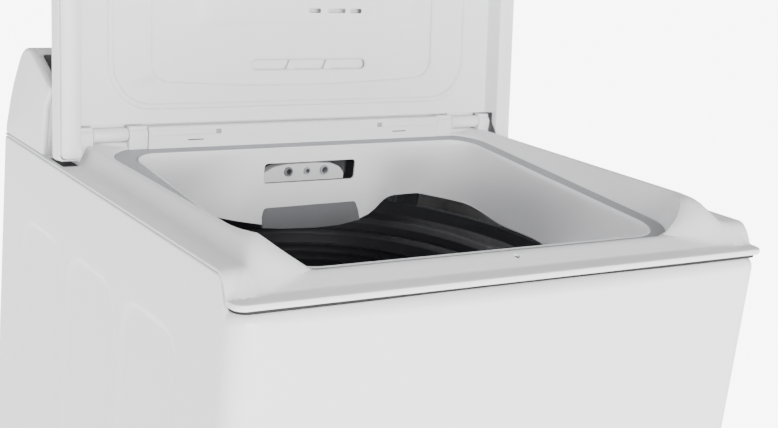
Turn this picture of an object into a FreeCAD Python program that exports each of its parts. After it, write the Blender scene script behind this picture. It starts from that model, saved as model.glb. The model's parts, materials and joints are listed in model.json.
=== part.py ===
import FreeCAD, Part
import math
import os
import Sketcher
from FreeCAD import Placement, Rotation, Vector

# Top load washing machine, lid open. Millimetres, +Z up, floor at Z = 0, front faces -Y.
# Heights of the deck, lid and console are counted from deck_top, the ledge beside the lid.

SIZES = {
    # cabinet of folded steel sheet
    "cab_half": 349, "cab_depth": 324, "front_bow": 8, "corner_rad": 25, "wall": 1.5,
    "cab_low": 32, "deck_top": 927, "front_gap": 33,
    "emb_pitch": 159, "emb_width": 135, "emb_mid": 12.5, "emb_top": 832, "emb_low": 150,
    "emb_rad": 38, "emb_deep": 3,
    "back_plane": 311, "base_low": 34, "base_high": 46, "base_rim": 75,
    "foot_x": 300, "foot_y": 262, "stem_rad": 5, "foot_rad": 22,
    # top deck, its raised rim and the funnel into the tub
    "sheet_thick": 3, "front_drop": 23, "rim_half": 318, "rim_top": 22, "rim_in": 305, "rim_back": 146,
    "deck_back": 322,
    "groove_half": 285, "mouth_half": 260, "groove_fall": 4.57, "groove_mid": 4.3, "groove_deep": 4,
    "mouth_front": -260, "mouth_back": 114, "funnel_half": 268, "funnel_low": 100,
    "strike_x": 11, "strike_y": -286,
    # lid and its hinge
    "hinge_y": 143.3, "hinge_up": 32.6, "lean": 7.5, "lid_long": 465, "lid_tail": 29,
    "lid_back": 10.5, "lid_front": 19, "skin": 1.2, "lid_band": 318, "knuckle_rad": 8.5,
    "pin_rad": 3, "run_gap": 0.05,
    # console
    "cap_thick": 8, "face_low_y": 165, "face_low_up": 90, "face_high_y": 235, "face_high_up": 124,
    "glass_half": 330, "glass_wide": 66, "glass_thick": 2.5, "knob_x": 205, "knob_rad": 20,
    "button_pitch": 42, "button_first": -70, "button_wide": 24, "button_deep": 12,
    # tub, basket and drive, all on one vertical axis
    "tub_rad": 268, "tub_wall": 4, "tub_low": 208, "tub_high": 796, "ring_out": 280, "ring_in": 232,
    "ring_top": 815, "basket_rad": 226, "basket_low": 240, "basket_high": 712,
    "balance_rad": 228, "balance_in": 217, "balance_top": 796, "hole_rad": 4,
    "tube_rad": 16, "shaft_rad": 9, "housing_bore": 32, "pulley_rad": 115, "pulley_low": 80,
    "motor_y": 185, "motor_rad": 62, "motor_pulley_rad": 18, "belt_thick": 3, "belt_gap": 0.4,
    "platform_low": 203, "pump_x": -185, "pump_y": -60, "pump_shaft": 3,
    "rod_x": 250, "rod_y": 245, "rod_rad": 4, "cup_top": 172, "lug_low": 262, "lug_high": 282,
    # water and power connections
    "port_x": 130, "port_pitch": 50, "port_z": 850, "port_rad": 13.2, "port_bore": 9, "port_end": 332,
    "outlet_x": -300, "outlet_z": 840, "outlet_rad": 15, "cord_x": 240, "cord_z": 850,
}

doc = FreeCAD.newDocument("washing_machine")
dims = doc.addObject("Spreadsheet::Sheet", "dims")
for row, (alias, value) in enumerate(SIZES.items(), start=1):
    dims.set("A%d" % row, alias)
    dims.set("B%d" % row, str(value))
    dims.setAlias("B%d" % row, alias)
doc.recompute()

subparts = []


def size(formula):
    """Value of a formula in the sheet's aliases."""
    return float(dims.evalExpression(full(formula)))


def full(formula):
    """Write each alias in a formula as a reference to the sheet."""
    words, word = [], ""
    for sign in str(formula) + " ":
        if sign.isalnum() or sign == "_" or (sign == "." and word[:1].isdigit()):
            word += sign
            continue
        words.append("dims." + word if word in SIZES else word)
        words.append(sign)
        word = ""
    return "".join(words).strip()


def bind(obj, **formulas):
    for prop, formula in formulas.items():
        obj.setExpression(prop, full(formula))
    return obj


def move(obj, x="0", y="0", z="0", turn=None):
    if turn is not None:
        obj.Placement = Placement(Vector(), turn)
    for axis, formula in (("x", x), ("y", y), ("z", z)):
        obj.setExpression("Placement.Base." + axis, full(formula))
    return obj


def keep(obj, label):
    """Mark an object as a finished sub-part; its Label names its file."""
    obj.Label = label
    subparts.append(obj)
    return obj


def box(length, width, height, x="0", y="0", z="0", turn=None):
    """A box centred on x and y, standing on z."""
    obj = bind(doc.addObject("Part::Box", "block"), Length=length, Width=width, Height=height)
    if turn is not None:
        return move(obj, x, y, z, turn)
    return move(obj, "(%s)-(%s)/2" % (x, length), "(%s)-(%s)/2" % (y, width), z)


def rod(radius, low, high, x="0", y="0"):
    obj = bind(doc.addObject("Part::Cylinder", "rod"), Radius=radius, Height="(%s)-(%s)" % (high, low))
    return move(obj, x, y, low)


def rod_back(radius, x, y_front, y_back, z):
    """A round bar along Y, from y_front to y_back."""
    obj = bind(doc.addObject("Part::Cylinder", "bar"), Radius=radius, Height="(%s)-(%s)" % (y_back, y_front))
    return move(obj, x, y_front, z, Rotation(Vector(1, 0, 0), -90))


def rod_across(radius, x_low, x_high, y, z):
    """A round bar along X, from x_low to x_high."""
    obj = bind(doc.addObject("Part::Cylinder", "bar"), Radius=radius, Height="(%s)-(%s)" % (x_high, x_low))
    return move(obj, x_low, y, z, Rotation(Vector(0, 1, 0), 90))


def join(*objs):
    fused = doc.addObject("Part::MultiFuse", "joined")
    fused.Shapes = list(objs)
    return fused


def cut(base, *tools):
    result = doc.addObject("Part::Cut", "cut")
    result.Base = base
    result.Tool = join(*tools) if len(tools) > 1 else tools[0]
    return result


def tube(outer, inner, low, high, x="0", y="0"):
    return cut(rod(outer, low, high, x, y), rod(inner, "(%s)-1" % low, "(%s)+1" % high, x, y))


def outline(body, plane_role, points):
    """A closed sketch of straight lines whose corners are bound to the sheet."""
    sketch = body.newObject("Sketcher::SketchObject", "outline")
    plane = [item for item in body.Origin.OriginFeatures if item.Role == plane_role][0]
    sketch.AttachmentSupport = [(plane, "")]
    sketch.MapMode = "FlatFace"
    corners = [Vector(size(across), size(up), 0) for across, up in points]
    count = len(corners)
    for i in range(count):
        sketch.addGeometry(Part.LineSegment(corners[i], corners[(i + 1) % count]), False)
    for i in range(count):
        sketch.addConstraint(Sketcher.Constraint("Coincident", i, 2, (i + 1) % count, 1))
    for i, (across, up) in enumerate(points):
        for kind, formula, value in (("DistanceX", across, corners[i].x), ("DistanceY", up, corners[i].y)):
            number = sketch.addConstraint(Sketcher.Constraint(kind, -1, 1, i, 1, value))
            sketch.setExpression("Constraints[%d]" % number, full(formula))
    return sketch


def turned(points, x="0", y="0"):
    """A piece turned about a vertical axis from its half section (radius, height)."""
    body = doc.addObject("PartDesign::Body", "turned")
    sketch = outline(body, "XZ_Plane", points)
    spin = body.newObject("PartDesign::Revolution", "spin")
    spin.Profile = sketch
    spin.ReferenceAxis = (sketch, ["V_Axis"])
    spin.Angle = 360
    sketch.Visibility = False
    return move(body, x, y)


def extruded(points, length, x="0"):
    """A side profile (y, z) padded along X, half of the length each way."""
    body = doc.addObject("PartDesign::Body", "extruded")
    sketch = outline(body, "YZ_Plane", points)
    pad = body.newObject("PartDesign::Pad", "pad")
    pad.Profile = sketch
    pad.SideType = "Symmetric"
    bind(pad, Length=length)
    sketch.Visibility = False
    return move(body, x)


def shaped(shape, label=None):
    """A free form that sketches and primitives do not suit."""
    obj = doc.addObject("Part::Feature", "shaped")
    obj.Shape = shape
    return keep(obj, label) if label else obj


def around(make):
    """Four copies, one in each quarter."""
    return [make(sx, sy) for sx in (-1, 1) for sy in (-1, 1)]


# ---- outlines used by the free forms

def round_rect(x_low, x_high, y_low, y_high, front_rad, back_rad):
    """A closed wire at z = 0 with its own corner radius at the front and at the back."""
    edges = []
    corners = ((x_high, y_low, front_rad, -90), (x_high, y_high, back_rad, 0),
               (x_low, y_high, back_rad, 90), (x_low, y_low, front_rad, 180))
    arcs = []
    for x, y, rad, start in corners:
        centre = Vector(x - math.copysign(rad, x - (x_low + x_high) / 2),
                        y - math.copysign(rad, y - (y_low + y_high) / 2), 0)
        arcs.append([centre + Vector(math.cos(math.radians(start + turn)),
                                     math.sin(math.radians(start + turn)), 0) * rad
                     for turn in (0, 45, 90)])
    for i, arc in enumerate(arcs):
        edges.append(Part.Arc(*arc).toShape())
        edges.append(Part.LineSegment(arc[2], arcs[(i + 1) % 4][0]).toShape())
    return Part.Wire(edges)


def lifted(wire, z, fall=0.0):
    """Tilt a flat wire about X, falling to the front by an angle, and lift it."""
    wire = wire.copy()
    wire.rotate(Vector(), Vector(1, 0, 0), fall)
    wire.translate(Vector(0, 0, z))
    return wire


def solid_between(*wires):
    return Part.makeLoft(list(wires), True, True)


def prism(wire, low, high):
    solid = Part.Face(wire).extrude(Vector(0, 0, high - low))
    solid.translate(Vector(0, 0, low))
    return solid


# ---- cabinet

def cabinet_block(inset, low, high):
    """Plan of the cabinet: round front corners and a slightly bowed front."""
    half, front = size("cab_half") - inset, size("cab_depth") - inset
    rad, bow = size("corner_rad") - inset, size("front_bow")
    back = size("cab_depth") + (10 if inset else 0)
    diagonal = rad * (1 - math.sqrt(0.5))
    points = [Vector(-half, back, 0), Vector(-half, rad - front, 0), Vector(diagonal - half, diagonal - front, 0),
              Vector(rad - half, -front, 0), Vector(0, -front - bow, 0), Vector(half - rad, -front, 0),
              Vector(half - diagonal, diagonal - front, 0), Vector(half, rad - front, 0), Vector(half, back, 0)]
    wire = Part.Wire([
        Part.LineSegment(points[0], points[1]).toShape(), Part.Arc(*points[1:4]).toShape(),
        Part.Arc(*points[3:6]).toShape(), Part.Arc(*points[5:8]).toShape(),
        Part.LineSegment(points[7], points[8]).toShape(), Part.LineSegment(points[8], points[0]).toShape()])
    return prism(wire, low, high)


def front_notch(extra):
    """Space above the front panel, under the deck's front lip."""
    half, front = size("cab_half") + 10, size("cab_depth")
    low = size("deck_top") - size("front_gap") - extra
    return Part.makeBox(2 * half, 60, 100, Vector(-half, size("corner_rad") - front - 60, low))


def embossings(inset):
    """Three tall shallow recesses in each side, as tools to cut away."""
    shapes = []
    half, deep = size("cab_half") - inset, size("emb_deep")
    for number in (-1, 0, 1):
        mid = size("emb_mid") + number * size("emb_pitch")
        reach = size("emb_width") / 2 + inset
        wire = round_rect(size("emb_low") - inset, size("emb_top") + inset, mid - reach, mid + reach,
                          size("emb_rad") + inset, size("emb_rad") + inset)
        tool = prism(wire, 0, deep + 10)
        tool.rotate(Vector(), Vector(0, 1, 0), -90)
        for side in (-1, 1):
            copy = tool.copy()
            if side > 0:
                copy.translate(Vector(half - deep + deep + 10, 0, 0))
            else:
                copy.translate(Vector(deep - half, 0, 0))
            shapes.append(copy)
    return shapes


def make_cabinet():
    low, high, wall = size("cab_low"), size("deck_top-sheet_thick"), size("wall")
    outer = cabinet_block(0, low, high).cut(embossings(0) + [front_notch(0)])
    inner = cabinet_block(wall, low - 1, high + 1).cut(embossings(wall) + [front_notch(wall)])
    shaped(outer.cut(inner), "cabinet_wrap")

    back = box("2*(cab_half-wall)", "wall", "deck_top-10-cab_low-20", y="back_plane+wall/2", z="cab_low+20")
    ports = [rod_back("port_rad+3", "port_x+%d*port_pitch/2" % side, "back_plane-5", "back_plane+5", "port_z")
             for side in (-1, 1)]
    ports.append(rod_back("outlet_rad+3", "outlet_x", "back_plane-5", "back_plane+5", "outlet_z"))
    ports.append(rod_back("9", "cord_x", "back_plane-5", "back_plane+5", "cord_z"))
    keep(cut(back, *ports), "rear_panel")

    depth = "cab_depth-corner_rad+back_plane"
    ring = box("2*(cab_half-wall)", depth, "base_high-base_low", y="(back_plane-cab_depth+corner_rad)/2", z="base_low")
    hollow = box("2*(cab_half-wall-base_rim)", depth + "-2*base_rim", "base_high",
                 y="(back_plane-cab_depth+corner_rad)/2", z="base_low-5")
    threads = around(lambda sx, sy: rod("stem_rad+run_gap", "base_low-1", "base_high+1",
                                        "%d*foot_x" % sx, "%d*foot_y" % sy))
    keep(cut(ring, hollow, *threads), "base_frame")

    names = {(-1, -1): "front_left", (1, -1): "front_right", (-1, 1): "rear_left", (1, 1): "rear_right"}
    for (sx, sy), name in names.items():
        place = {"x": "%d*foot_x" % sx, "y": "%d*foot_y" % sy}
        foot = turned([("0", "0"), ("foot_rad-2", "0"), ("foot_rad", "2"), ("foot_rad", "9"), ("11", "14"),
                       ("11", "24"), ("stem_rad", "24"), ("stem_rad", "70"), ("0", "70")], **place)
        keep(foot, "levelling_foot_" + name)

    def gusset(sx, sy):
        plate = box("117.5", "74", "4", "%d*288.7" % sx, "%d*262" % sy, "866")
        return cut(plate, rod("rod_rad+0.3", "860", "875", "%d*rod_x" % sx, "%d*rod_y" % sy))
    keep(join(*around(gusset)), "suspension_brackets")

    def hanger(sx, sy):
        return turned([("0", "cup_top-8"), ("16", "cup_top-8"), ("24", "cup_top-3"), ("24", "cup_top"),
                       ("rod_rad", "cup_top"), ("rod_rad", "870"), ("9", "870"), ("9", "874"), ("5", "881"),
                       ("0", "881")], "%d*rod_x" % sx, "%d*rod_y" % sy)
    keep(join(*around(hanger)), "suspension_rods")


# ---- top deck

def rim_form(shrink):
    """The raised rim around the mouth, before the mouth is cut; shrink gives its hollow underside."""
    top, half, inner = size("deck_top"), size("rim_half") - shrink, size("rim_in") + 3 - shrink
    rise, back = size("rim_top") - shrink, size("rim_back") - shrink
    foot = lifted(round_rect(-half, half, shrink - 301, back, 32 - shrink, 8), top - 25)
    mid = lifted(round_rect(-half, half, shrink - 300, back, 32 - shrink, 8), top - shrink)
    head = lifted(round_rect(-inner, inner, shrink - 284, back, 36 - shrink, 8), top + rise)
    form = solid_between(foot, mid).fuse(solid_between(mid, head))
    profile = [(back + 5, -26), (back + 5, rise), (shrink / 2 - 252, rise - 1), (shrink / 2 - 265, rise - 11),
               (shrink - 276, -5 - shrink), (shrink - 284, -15 - shrink), (shrink - 303, -25 - shrink),
               (shrink - 303, -26)]
    corners = [Vector(-400, y, top + z) for y, z in profile]
    side = Part.Face(Part.makePolygon(corners + corners[:1])).extrude(Vector(800, 0, 0))
    return form.common(side)


def mouth_wires(grow):
    """Sections of the way in, from the rim's top down to the tub."""
    top, fall = size("deck_top"), size("groove_fall")
    groove, mouth, funnel = size("groove_half") + grow, size("mouth_half") + grow, size("funnel_half") + grow
    front, back = size("mouth_front") - grow, size("mouth_back") + grow
    high = round_rect(-size("rim_in") - grow, size("rim_in") + grow, front - 19, back + 24, 60, 24)
    outer = round_rect(-groove, groove, front - 8, back + 22, 58, 24)
    inner = round_rect(-mouth, mouth, front, back, 52, 24)
    low = round_rect(-funnel, funnel, front - 8, back, 215, 70)
    level = top + size("groove_mid")
    return (lifted(high, top + size("rim_top"), fall / 3), lifted(outer, level, fall), lifted(inner, level, fall),
            lifted(low, top - size("funnel_low"), -1.5))


def make_deck():
    top, thick = size("deck_top"), size("sheet_thick")
    half, front = size("cab_half"), size("cab_depth")
    rad = size("corner_rad")
    high, outer, inner, low = mouth_wires(0)
    high_out, outer_out, inner_out, low_out = mouth_wires(thick)
    drop = size("front_drop")

    plan = round_rect(-half, half, -front, 136, rad, 2)
    behind = Part.makeBox(2 * half, 600, 60, Vector(-half, rad - front, top - 50))
    top_plan = round_rect(-half, half, -front, size("deck_back"), rad, 2)
    ledge = prism(top_plan, top - thick, top).cut(Part.makeBox(2 * half, 40, 20, Vector(-half, -344, top - 10)))
    apron = prism(plan, top - drop - 2 * thick, top - drop).cut(behind)
    riser = prism(round_rect(-half, half, 20 - front, 136, rad - 10, 2), top - drop - thick, top).cut(behind)
    riser = riser.cut(prism(round_rect(-half - 5, half + 5, 20 - front + thick, 140, rad - 10, 2),
                            top - drop - 10, top + 5))
    well = solid_between(outer_out, high_out)
    throat = solid_between(low_out, inner_out)
    seat_drop = Vector(0, 0, -size("groove_deep"))
    seat, seat_out = outer.copy(), outer_out.copy()
    seat.translate(seat_drop)
    seat_out.translate(seat_drop + Vector(0, 0, -thick))
    step = solid_between(seat, outer)
    step_out = solid_between(seat_out, outer_out)
    rim = rim_form(0)
    hollow_form = rim_form(thick).cut([well, throat, step_out])
    deck = ledge.fuse([apron, riser, rim, throat, step_out.common(rim_box())])
    deck = deck.cut(hollow_form)
    way_in = [solid_between(low, inner), step, solid_between(outer, high)]
    way_in += [solid_between(lifted_copy(low, -6), low), solid_between(high, lifted_copy(high, 20))]
    deck = deck.cut(way_in)
    slot = Part.makeBox(140, 30, 27, Vector(-60, size("mouth_back") - 10, top - 33))
    strike_hole = Part.makeCylinder(3.6, 80, Vector(size("strike_x"), size("strike_y"), top - 60))
    nozzle_room = Part.makeBox(120, 26.4, 34, Vector(-56, size("mouth_back") + 3, top - 37))
    hose_notch = Part.makeBox(20, 8, 20, Vector(-6, size("rim_back") - 6, top - 32))
    deck = deck.cut([slot, strike_hole, nozzle_room, hose_notch])
    shaped(deck, "top_deck")
    gasket = step.cut(solid_between(lifted_copy(inner, -10), lifted_copy(inner, 10)))
    shaped(gasket, "lid_gasket")
    return deck


def lifted_copy(wire, z):
    wire = wire.copy()
    wire.translate(Vector(0, 0, z))
    return wire


def rim_box():
    top = size("deck_top")
    return Part.makeBox(2 * size("rim_half"), 445, 80, Vector(-size("rim_half"), -301, top - 40))


# ---- nozzle housing in the funnel's rear wall, water valve and outlets

def make_water_way():
    top = "deck_top"
    shell = box("118", "26", "33", "4", "mouth_back+16.2", top + "-36")
    face = cut(box("104", "7", "24", "-6", "mouth_back+0.4", top + "-31.5"),
               box("120", "20", "60", "-6", "mouth_back-13.2", top + "-50"))
    sockets = [rod_back("4.2", x, "mouth_back-10", "mouth_back+12", top + "-19") for x in ("-29", "0", "27")]
    keep(cut(join(shell, face), *sockets), "nozzle_housing")
    nozzles = [cut(rod_back("4.2", x, "mouth_back-6", "mouth_back+12", top + "-19"),
                   rod_back("2.4", x, "mouth_back-7", "mouth_back+8", top + "-19")) for x in ("-29", "0", "27")]
    keep(join(*nozzles), "spray_nozzles")
    keep(box("150", "1.2", "26", "12", "mouth_back-0.9", top + "-93"), "rear_insert_panel")

    block = box("92", "48", "56", "port_x", "back_plane-24", "port_z-28")
    solenoids = [rod("15", "port_z+28", "port_z+50", "port_x+%d*port_pitch/2" % side, "back_plane-24")
                 for side in (-1, 1)]
    ports = [rod_back("port_rad", "port_x+%d*port_pitch/2" % side, "back_plane-1", "port_end", "port_z")
             for side in (-1, 1)]
    shoulders = [rod_back("port_rad+2.5", "port_x+%d*port_pitch/2" % side, "back_plane-1", "back_plane+2", "port_z")
                 for side in (-1, 1)]
    bores = [rod_back("port_bore", "port_x+%d*port_pitch/2" % side, "port_end-18", "port_end+1", "port_z")
             for side in (-1, 1)]
    keep(cut(join(block, *solenoids, *ports, *shoulders), *bores), "inlet_valve")

    back, port = size("back_plane"), size("port_z")
    route = [Vector(size("port_x") - 20, back - 48, port), Vector(size("port_x") - 20, 205, port),
             Vector(size("port_x") - 60, 190, port + 55), Vector(30, 190, port + 55), Vector(4, 156, port + 55),
             Vector(4, size("mouth_back") + 29.2, port + 55)]
    shaped(hose(route, 8, 22), "fill_hose")

    pipe = rod_back("outlet_rad", "outlet_x", "back_plane-16", "port_end-2", "outlet_z")
    flange = rod_back("outlet_rad+6", "outlet_x", "back_plane-3", "back_plane", "outlet_z")
    shoulder = rod_back("outlet_rad+2.5", "outlet_x", "back_plane-2", "back_plane+2", "outlet_z")
    bore = rod_back("outlet_rad-3", "outlet_x", "back_plane-20", "port_end", "outlet_z")
    keep(cut(join(pipe, flange, shoulder), bore), "drain_outlet")
    gland = rod_back("9", "cord_x", "back_plane-6", "port_end-8", "cord_z")
    collar = rod_back("13", "cord_x", "back_plane+wall", "back_plane+wall+3", "cord_z")
    keep(cut(join(gland, collar), rod_back("4", "cord_x", "back_plane-10", "port_end", "cord_z")), "cord_gland")
    heads = [rod_back("5", "%d*%s" % (side, x), "back_plane+wall", "back_plane+wall+2.5", z)
             for side in (-1, 1) for x in ("335", "112") for z in ("60", "905")]
    keep(join(*heads), "rear_screws")

    start, low = size("pump_x") - 70, 166
    outlet = size("outlet_x")
    route = [Vector(start, size("pump_y"), low), Vector(outlet, size("pump_y"), low), Vector(outlet, 40, low + 30),
             Vector(outlet, 120, low + 150), Vector(outlet, 150, low + 430), Vector(outlet, 190, 760),
             Vector(outlet, 240, 840), Vector(outlet, back - 16, 840)]
    shaped(hose(route, 12, 34), "internal_drain_hose")


def hose(points, rad, bend):
    """A round hose along straight runs joined by tangent arcs."""
    edges, last = [], points[0]
    for i in range(1, len(points) - 1):
        into = (points[i] - points[i - 1]).normalize()
        away = (points[i + 1] - points[i]).normalize()
        turn = into.getAngle(away)
        room = 0.45 * min((points[i] - points[i - 1]).Length, (points[i + 1] - points[i]).Length)
        reach = min(bend * math.tan(turn / 2), room)
        start, end = points[i] - into * reach, points[i] + away * reach
        half_way = (away - into).normalize()
        sag = reach / math.tan(turn / 2) * (1 / math.cos(turn / 2) - 1)
        edges += [Part.LineSegment(last, start).toShape(), Part.Arc(start, points[i] + half_way * sag, end).toShape()]
        last = end
    edges.append(Part.LineSegment(last, points[-1]).toShape())
    ring = Part.Wire(Part.makeCircle(rad, points[0], points[1] - points[0]))
    return Part.Wire(edges).makePipeShell([ring], True, True)


# ---- hinge and lid

def hinge_spot():
    return Vector(0, size("hinge_y"), size("deck_top") + size("hinge_up"))


def lid_sheet(half, low, high, y_front, y_back, rad):
    """A rounded plate in the lid's own frame: the hinge axis is its origin and it stands up along +Z."""
    wire = round_rect(-half, half, low, high, rad, rad)
    plate = prism(wire, 0, y_back - y_front)
    plate.rotate(Vector(), Vector(1, 0, 0), 90)
    plate.translate(Vector(0, y_back, 0))
    return plate


def leaned(shape):
    shape = shape.copy()
    shape.rotate(Vector(), Vector(1, 0, 0), -size("lean"))
    shape.translate(hinge_spot())
    return shape


def make_lid(deck):
    half, tail, long = size("cab_half"), size("lid_tail"), size("lid_long")
    back, front, skin = size("lid_back"), -size("lid_front"), size("skin")
    band, deep_front = size("lid_band"), front - 31
    knuckle = size("knuckle_rad")

    pan = lid_sheet(half, -tail, long, front, back, 22)
    pan = pan.cut(lid_sheet(half - skin, -tail + skin, long - skin, front - 1, back - skin, 21))
    pan = pan.cut(Part.makeBox(2 * band + 6, back - skin - front + 1, 60, Vector(-band - 3, front - 1, -tail - 30)))
    corner = Part.Face(Part.makePolygon([Vector(-400, front - 1, -tail - 1), Vector(-400, -6, -tail - 1),
                                         Vector(-400, front - 1, 14 - tail), Vector(-400, front - 1, -tail - 1)]))
    corner = corner.extrude(Vector(800, 0, 0))
    pan = pan.cut(corner)
    lip = lid_sheet(half - 14, long - 60, long, deep_front, front, 22)
    lip = lip.cut(Part.makeBox(2 * half, 60, 60, Vector(-half, deep_front - 5, long - 64)))
    shaped(leaned(pan.fuse(lip)), "lid_outer_skin")

    liner_half, liner_low, floor = half - skin - 0.1, 12, 3
    liner = lid_sheet(liner_half, liner_low, long - skin - 0.1, front, back - skin - 0.1, 20.9)
    liner = liner.cut(lid_sheet(band, liner_low - 50, long - 32, front - 1, floor, 40))
    recess = lid_sheet(liner_half - 3, liner_low + 3, long - 5, front + 3, back + 1, 18)
    recess = recess.cut(lid_sheet(band + 3, liner_low - 50, long - 29, front - 2, back + 2, 43))
    liner = liner.cut(recess)
    thin = lid_sheet(band, liner_low + 6, long - 32, floor + 2.5, back + 1, 40)
    liner = liner.cut(thin)
    vents = [Part.makeBox(52, 30, 8, Vector(x, -12, 80)) for x in (-69, -11, 47)]
    liner = liner.cut(vents)
    shaped(leaned(liner), "lid_inner_panel")

    strike_long = (size("deck_top") + size("hinge_up")) - (size("deck_top") - 25) + floor
    reach = size("hinge_y") - size("strike_y")
    pin = Part.makeCylinder(1.5, strike_long, Vector(size("strike_x"), floor, reach), Vector(0, -1, 0))
    base = Part.makeCone(3.5, 2.4, 24, Vector(size("strike_x"), floor, reach), Vector(0, -1, 0))
    shaped(leaned(pin.fuse(base)), "lid_strike")
    pads = [Part.makeCylinder(5, 12, Vector(side * 334, front, long - 60), Vector(0, -1, 0)) for side in (-1, 1)]
    shaped(leaned(Part.makeCompound(pads)), "lid_bumpers")

    moving, fixed, pins = [], [], []
    pin_rad, gap = size("pin_rad"), size("run_gap")
    for side in (-1, 1):
        low, high = sorted((side * 257.6, side * 299.4))
        barrel = Part.makeCylinder(knuckle, high - low, Vector(low, 0, 0), Vector(1, 0, 0))
        arm = Part.makeBox(high - low, back - skin - 0.1, 12.1, Vector(low, 0, 0))
        foot = Part.makeBox(high - low, 2 * knuckle, 12 - knuckle + 1, Vector(low, -knuckle, knuckle - 1))
        bore = Part.makeCylinder(pin_rad + gap, high - low + 2, Vector(low - 1, 0, 0), Vector(1, 0, 0))
        blank = barrel.fuse([arm.common(Part.makeBox(60, 30, 12, Vector(low, 0, 0))),
                             foot.common(Part.makeBox(60, 30, 12, Vector(low, -15, 0)))])
        moving.append(leaned(blank.cut(bore)))
        for start, end in ((300, 319), (232, 257)):
            near, far = sorted((side * start, side * end))
            eye = Part.makeCylinder(knuckle, far - near, Vector(near, 0, 0), Vector(1, 0, 0))
            stem = Part.makeBox(far - near, 12, size("hinge_up"), Vector(near, -7, -size("hinge_up")))
            hole = Part.makeCylinder(pin_rad, far - near + 2, Vector(near - 1, 0, 0), Vector(1, 0, 0))
            block = eye.fuse(stem).cut(hole)
            block.translate(hinge_spot())
            fixed.append(block.cut(deck))
        near = min(side * 232, side * 319)
        pin = Part.makeCylinder(pin_rad, 87, Vector(near, 0, 0), Vector(1, 0, 0))
        pin.translate(hinge_spot())
        pins.append(pin)
    shaped(Part.makeCompound(moving), "lid_hinge_barrels")
    shaped(Part.makeCompound(fixed), "deck_hinge_knuckles")
    shaped(Part.makeCompound(pins), "hinge_pins")

    x, y, top = "strike_x", "strike_y", "deck_top"
    case = box("70", "22", "26", "strike_x+12", y, top + "-57")
    shaft = rod("4.4", top + "-60", top + "-20", x, y)
    channel = box("46", "8.2", "4.4", "strike_x+16", y, top + "-43.2")
    keep(cut(case, shaft, channel), "lid_lock_housing")
    bolt = box("26", "8", "4", "strike_x+24", y, top + "-43")
    keep(bolt, "lock_bolt")


# ---- console and controls

def face_place(along, out):
    """Where a point of the console's sloping face lies: along it from its low edge, and out of it."""
    tilt = "atan((face_high_up-face_low_up)/(face_high_y-face_low_y))"
    y = "face_low_y+(%s)*cos(%s)-(%s)*sin(%s)" % (along, tilt, out, tilt)
    z = "deck_top+face_low_up+(%s)*sin(%s)+(%s)*cos(%s)" % (along, tilt, out, tilt)
    return y, z


def face_turn():
    rise = size("face_high_up") - size("face_low_up")
    run = size("face_high_y") - size("face_low_y")
    return Rotation(Vector(1, 0, 0), math.degrees(math.atan2(rise, run)))


def face_box(length, width, height, x, along, out):
    """A box square to the sloping face; along is its middle, out its underside."""
    y, z = face_place("(%s)-(%s)/2" % (along, width), out)
    return box(length, width, height, "(%s)-(%s)/2" % (x, length), y, z, face_turn())


def face_rod(radius, height, x, along, out):
    y, z = face_place(along, out)
    obj = bind(doc.addObject("Part::Cylinder", "peg"), Radius=radius, Height=height)
    return move(obj, x, y, z, face_turn())


def make_console():
    up = "deck_top+"
    skin = [("180", up + "0.2"), ("322", up + "0.2"), ("320", up + "12"), ("285", up + "85"), ("263", up + "110"),
            ("249", up + "121"), ("face_high_y", up + "face_high_up"), ("face_low_y", up + "face_low_up"),
            ("face_low_y-1", up + "85"), ("169", up + "77"), ("180", up + "62")]
    inside = [("183", "deck_top-2"), ("318.5", "deck_top-2"), ("317", up + "11"), ("282.5", up + "83.5"),
              ("261", up + "107.5"), ("248", up + "118"), ("face_high_y+1", up + "face_high_up-3.2"),
              ("face_low_y+4", up + "face_low_up-1.6"), ("172", up + "79"), ("183", up + "64")]
    long = "2*(cab_half-cap_thick)"
    controls = [face_rod("4", "30", "knob_x", "36", "-15")]
    for number in range(4):
        x = "button_first+%d*button_pitch" % number
        controls.append(face_box("button_wide+1", "button_deep+1", "30", x, "36", "-15"))
    shell = cut(extruded(skin, long), extruded(inside, long + "+2"), *controls)
    keep(shell, "console_housing")
    for side, name in ((-1, "left"), (1, "right")):
        keep(extruded(skin, "cap_thick", "%d*(cab_half-cap_thick/2)" % side), "console_end_cap_" + name)

    holes = [face_rod("3+run_gap", "10", "knob_x", "36", "-2")]
    for number in range(4):
        x = "button_first+%d*button_pitch" % number
        holes.append(face_box("button_wide+1", "button_deep+1", "10", x, "36", "-2"))
    glass = face_box("2*glass_half", "glass_wide", "glass_thick", "0", "36", "0")
    keep(cut(glass, *holes), "control_panel")
    keep(face_box("360", "44", "1.6", "70", "38", "-16"), "control_board")
    knob = join(face_rod("knob_rad", "15", "knob_x", "36", "glass_thick+1.5"),
                face_rod("knob_rad+3", "3", "knob_x", "36", "glass_thick+0.5"),
                face_rod("3", "14", "knob_x", "36", "glass_thick-12.5"))
    keep(knob, "cycle_knob")
    for number, name in enumerate(("power", "start", "water_level", "soak")):
        x = "button_first+%d*button_pitch" % number
        keep(face_box("button_wide", "button_deep", "glass_thick+6", x, "36", "-4"), name + "_button")


# ---- outer tub and what is fixed to it

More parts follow.
